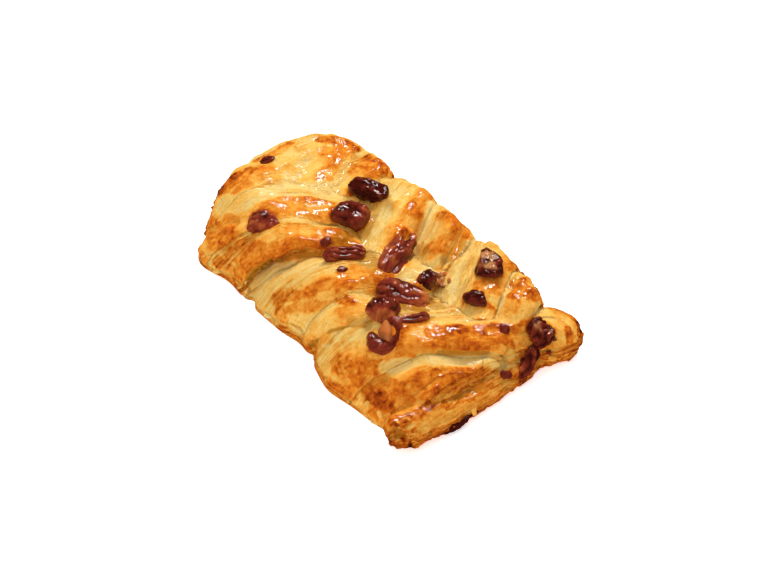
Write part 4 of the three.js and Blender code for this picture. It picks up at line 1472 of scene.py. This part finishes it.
class PASTRY_OT_bits(bpy.types.Operator):
    """Sets the small bits of nut on the dough"""

    bl_idname = "pastry.set_bits"
    bl_label = "Set the bits of nut"

    def execute(self, context):
        pieces = []
        for seed, bit in enumerate(BITS + CRUMBS):
            place, normal = surface_at(*bit.at)
            axes = lying_on(normal, bit.heading)
            looks = CRUMB_LOOKS if bit in CRUMBS else BIT_LOOKS
            place = place + normal * BIT_LIFT * bit.size[2]
            pieces.append(add_bit(place, axes, bit.size, seed, *looks))
        place, normal = surface_at(*KERNEL.at)
        axes = lying_on(normal, KERNEL.heading)
        pieces.append(add_bit(place, axes, KERNEL.size, KERNEL_SEED, *KERNEL_LOOKS))
        settle(join_all(pieces, "nut_bits"), "pecan", bpy.data.materials["glazed_pecan"])
        return {"FINISHED"}


class PASTRY_OT_drip(bpy.types.Operator):
    """Sets the burnt drip of glaze at the pastry's foot"""

    bl_idname = "pastry.set_drip"
    bl_label = "Set the burnt drip"

    def execute(self, context):
        deselect_all()
        bpy.ops.mesh.primitive_uv_sphere_add(segments=64, ring_count=40, radius=0.5)
        piece = context.object
        piece.name = "burnt_drip"
        ball = points_of(piece.data)
        ragged = mixed_noise(ball * np.array(DRIP.size), DRIP_LUMPS)
        local = ball * (1 + ragged)[:, None] * np.array(DRIP.size)
        axes = lying_on(np.array((0.0, 0.0, 1.0)), DRIP.heading)
        points = local @ axes + np.array((*DRIP.at, DRIP_LIFT * DRIP.size[2]))
        points[:, 2] = np.maximum(points[:, 2], 0)
        move_points(piece.data, to_metres(points))
        set_number(piece.data, "tone", np.clip(DRIP_TONE * ragged, 0, 1))
        set_number(piece.data, "broken", np.zeros(len(ball)))
        settle(piece, "dough", bpy.data.materials["glazed_pecan"])
        return {"FINISHED"}


def add_flake():
    """One thin, curled flake of dough, a few millimetres long, lying at the origin."""
    deselect_all()
    bpy.ops.mesh.primitive_grid_add(x_subdivisions=4, y_subdivisions=2, size=1)
    piece = bpy.context.object
    points = points_of(piece.data)
    points[:, 1] *= 0.5 - FLAKE_TAPER * np.abs(points[:, 0])
    points[:, 2] = FLAKE_BEND * points[:, 0] ** 2 + FLAKE_TILT * points[:, 1]
    move_points(piece.data, points)
    apply_modifier(piece, "SOLIDIFY", thickness=FLAKE_THICKNESS, offset=0)
    return piece


def numbers_of(mesh, name):
    values = np.empty(len(mesh.vertices), np.float32)
    mesh.attributes[name].data.foreach_get("value", values)
    return values


def flake_places(mesh, draw):
    """Places on the dough where a layer has come loose, with their normals and how far they are baked."""
    points, normals = to_sheet(points_of(mesh)), normals_of(mesh)
    loose = numbers_of(mesh, "loose").astype(float)
    chosen = draw.choice(len(points), FLAKE_COUNT, replace=False, p=loose / loose.sum())
    return points[chosen], normals[chosen], numbers_of(mesh, "bake")[chosen]


class PASTRY_OT_flakes(bpy.types.Operator):
    """Scatters thin loose flakes along the rims and torn walls of the dough"""

    bl_idname = "pastry.scatter_flakes"
    bl_label = "Scatter the flakes"

    def execute(self, context):
        draw = np.random.default_rng(FLAKE_SEED)
        dough = bpy.data.objects["braided_dough"].data
        pattern = add_flake()
        shape = points_of(pattern.data)
        pieces = []
        for place, normal, bake in zip(*flake_places(dough, draw)):
            axes = lying_on(normal, draw.uniform(0, 360))
            spans = (FLAKE_LENGTHS, FLAKE_WIDTHS, FLAKE_CURLS)
            length, width, curl = (draw.uniform(*span) for span in spans)
            size = length * np.array((1, width, curl))
            mesh = pattern.data.copy()
            points = shape * size @ axes + place
            points[:, 2] = np.maximum(points[:, 2], 0)
            move_points(mesh, to_metres(points))
            level = np.clip(bake + draw.uniform(*FLAKE_BAKE_SHIFTS), *FLAKE_BAKE_RANGE)
            set_number(mesh, "bake", np.full(len(shape), level))
            for name in ("layers", "painted_shade", "wet"):
                set_number(mesh, name, np.zeros(len(shape)))
            set_vector(mesh, "strip", shape)
            flake = bpy.data.objects.new("flake", mesh)
            context.scene.collection.objects.link(flake)
            pieces.append(flake)
        bpy.data.objects.remove(pattern)
        settle(join_all(pieces, "loose_flakes"), "dough", bpy.data.materials["glazed_dough"])
        return {"FINISHED"}


# Stage


def direction(azimuth, elevation):
    """From the pastry towards a place seen at an azimuth and elevation, as a unit vector."""
    level = math.cos(elevation)
    return Vector((math.sin(azimuth) * level, -math.cos(azimuth) * level, math.sin(elevation)))


def facing(place, target):
    """The turn of a lamp or camera at a place, so that it faces the target."""
    return (target - place).to_track_quat("-Z", "Y").to_euler()


def add_lamp(lamp, azimuth, target):
    """A square lamp. A glossy one is only seen in the glaze, and the others are not seen in it."""
    light = bpy.data.lights.new(lamp.name, "AREA")
    light.size = lamp.size
    light.energy = lamp.power
    item = bpy.data.objects.new(lamp.name, light)
    bpy.context.scene.collection.objects.link(item)
    item.visible_glossy = lamp.glossy
    item.visible_diffuse = not lamp.glossy
    item.location = direction(azimuth + lamp.swing, lamp.height) * lamp.distance
    item.rotation_euler = facing(item.location, target)


def add_floor():
    """A wide pale floor, which isn't seen in the glaze."""
    deselect_all()
    bpy.ops.mesh.primitive_plane_add(size=FLOOR_SIZE)
    floor = bpy.context.object
    floor.name = "floor"
    floor.data.materials.append(floor_material())
    floor.visible_glossy = False


def add_camera(stage, target):
    """The camera, at the stage's angle and distance from its target."""
    camera = bpy.data.objects.new("camera", bpy.data.cameras.new("camera"))
    bpy.context.scene.collection.objects.link(camera)
    camera.location = target + direction(stage.azimuth, stage.elevation) * stage.distance
    camera.rotation_euler = facing(camera.location, target)
    camera.data.lens = stage.lens
    camera.data.sensor_width = SENSOR_WIDTH
    bpy.context.scene.camera = camera


def add_world():
    """Even white light from all round, which isn't seen in the glaze."""
    world = bpy.data.worlds.new("studio")
    world.use_nodes = True
    background = world.node_tree.nodes["Background"]
    background.inputs["Color"].default_value = (1, 1, 1, 1)
    background.inputs["Strength"].default_value = WORLD_STRENGTH
    world.cycles_visibility.glossy = False
    bpy.context.scene.world = world


class PASTRY_OT_stage(bpy.types.Operator):
    """Sets the floor, the light and the camera"""

    bl_idname = "pastry.set_stage"
    bl_label = "Set the stage"

    def execute(self, context):
        stage = settings().stage
        target = Vector(to_metres(np.array(TARGET)))
        add_floor()
        add_camera(stage, target)
        for lamp in LAMPS:
            add_lamp(lamp, stage.azimuth, target)
        add_world()
        context.scene.view_settings.view_transform = "Standard"
        return {"FINISHED"}


class PASTRY_PT_panel(bpy.types.Panel):
    """The pastry's steps and settings"""

    bl_idname = "PASTRY_PT_panel"
    bl_label = "Braided pastry"
    bl_space_type = "VIEW_3D"
    bl_region_type = "UI"
    bl_category = "Pastry"

    def draw(self, context):
        for operator in STEPS:
            self.layout.operator(operator.bl_idname)
        for group in (settings().dough, settings().colours, settings().stage):
            for name in group.bl_rna.properties.keys():
                if name not in ("rna_type", "name"):
                    self.layout.prop(group, name)


STEPS = (
    PASTRY_OT_pecans, PASTRY_OT_dough, PASTRY_OT_bits,
    PASTRY_OT_drip, PASTRY_OT_flakes, PASTRY_OT_stage,
)
CLASSES = (PastryDough, PastryColours, PastryStage, PastrySettings, *STEPS, PASTRY_PT_panel)


def register():
    for item in CLASSES:
        bpy.utils.register_class(item)
    bpy.types.Scene.pastry = PointerProperty(type=PastrySettings)


def unregister():
    del bpy.types.Scene.pastry
    for item in reversed(CLASSES):
        bpy.utils.unregister_class(item)


def main():
    """Makes the pastry step by step."""
    register()
    bpy.ops.pastry.set_pecans()
    bpy.ops.pastry.lay_dough()
    bpy.ops.pastry.set_bits()
    bpy.ops.pastry.set_drip()
    bpy.ops.pastry.scatter_flakes()
    bpy.ops.pastry.set_stage()


if __name__ == "__main__":
    main()
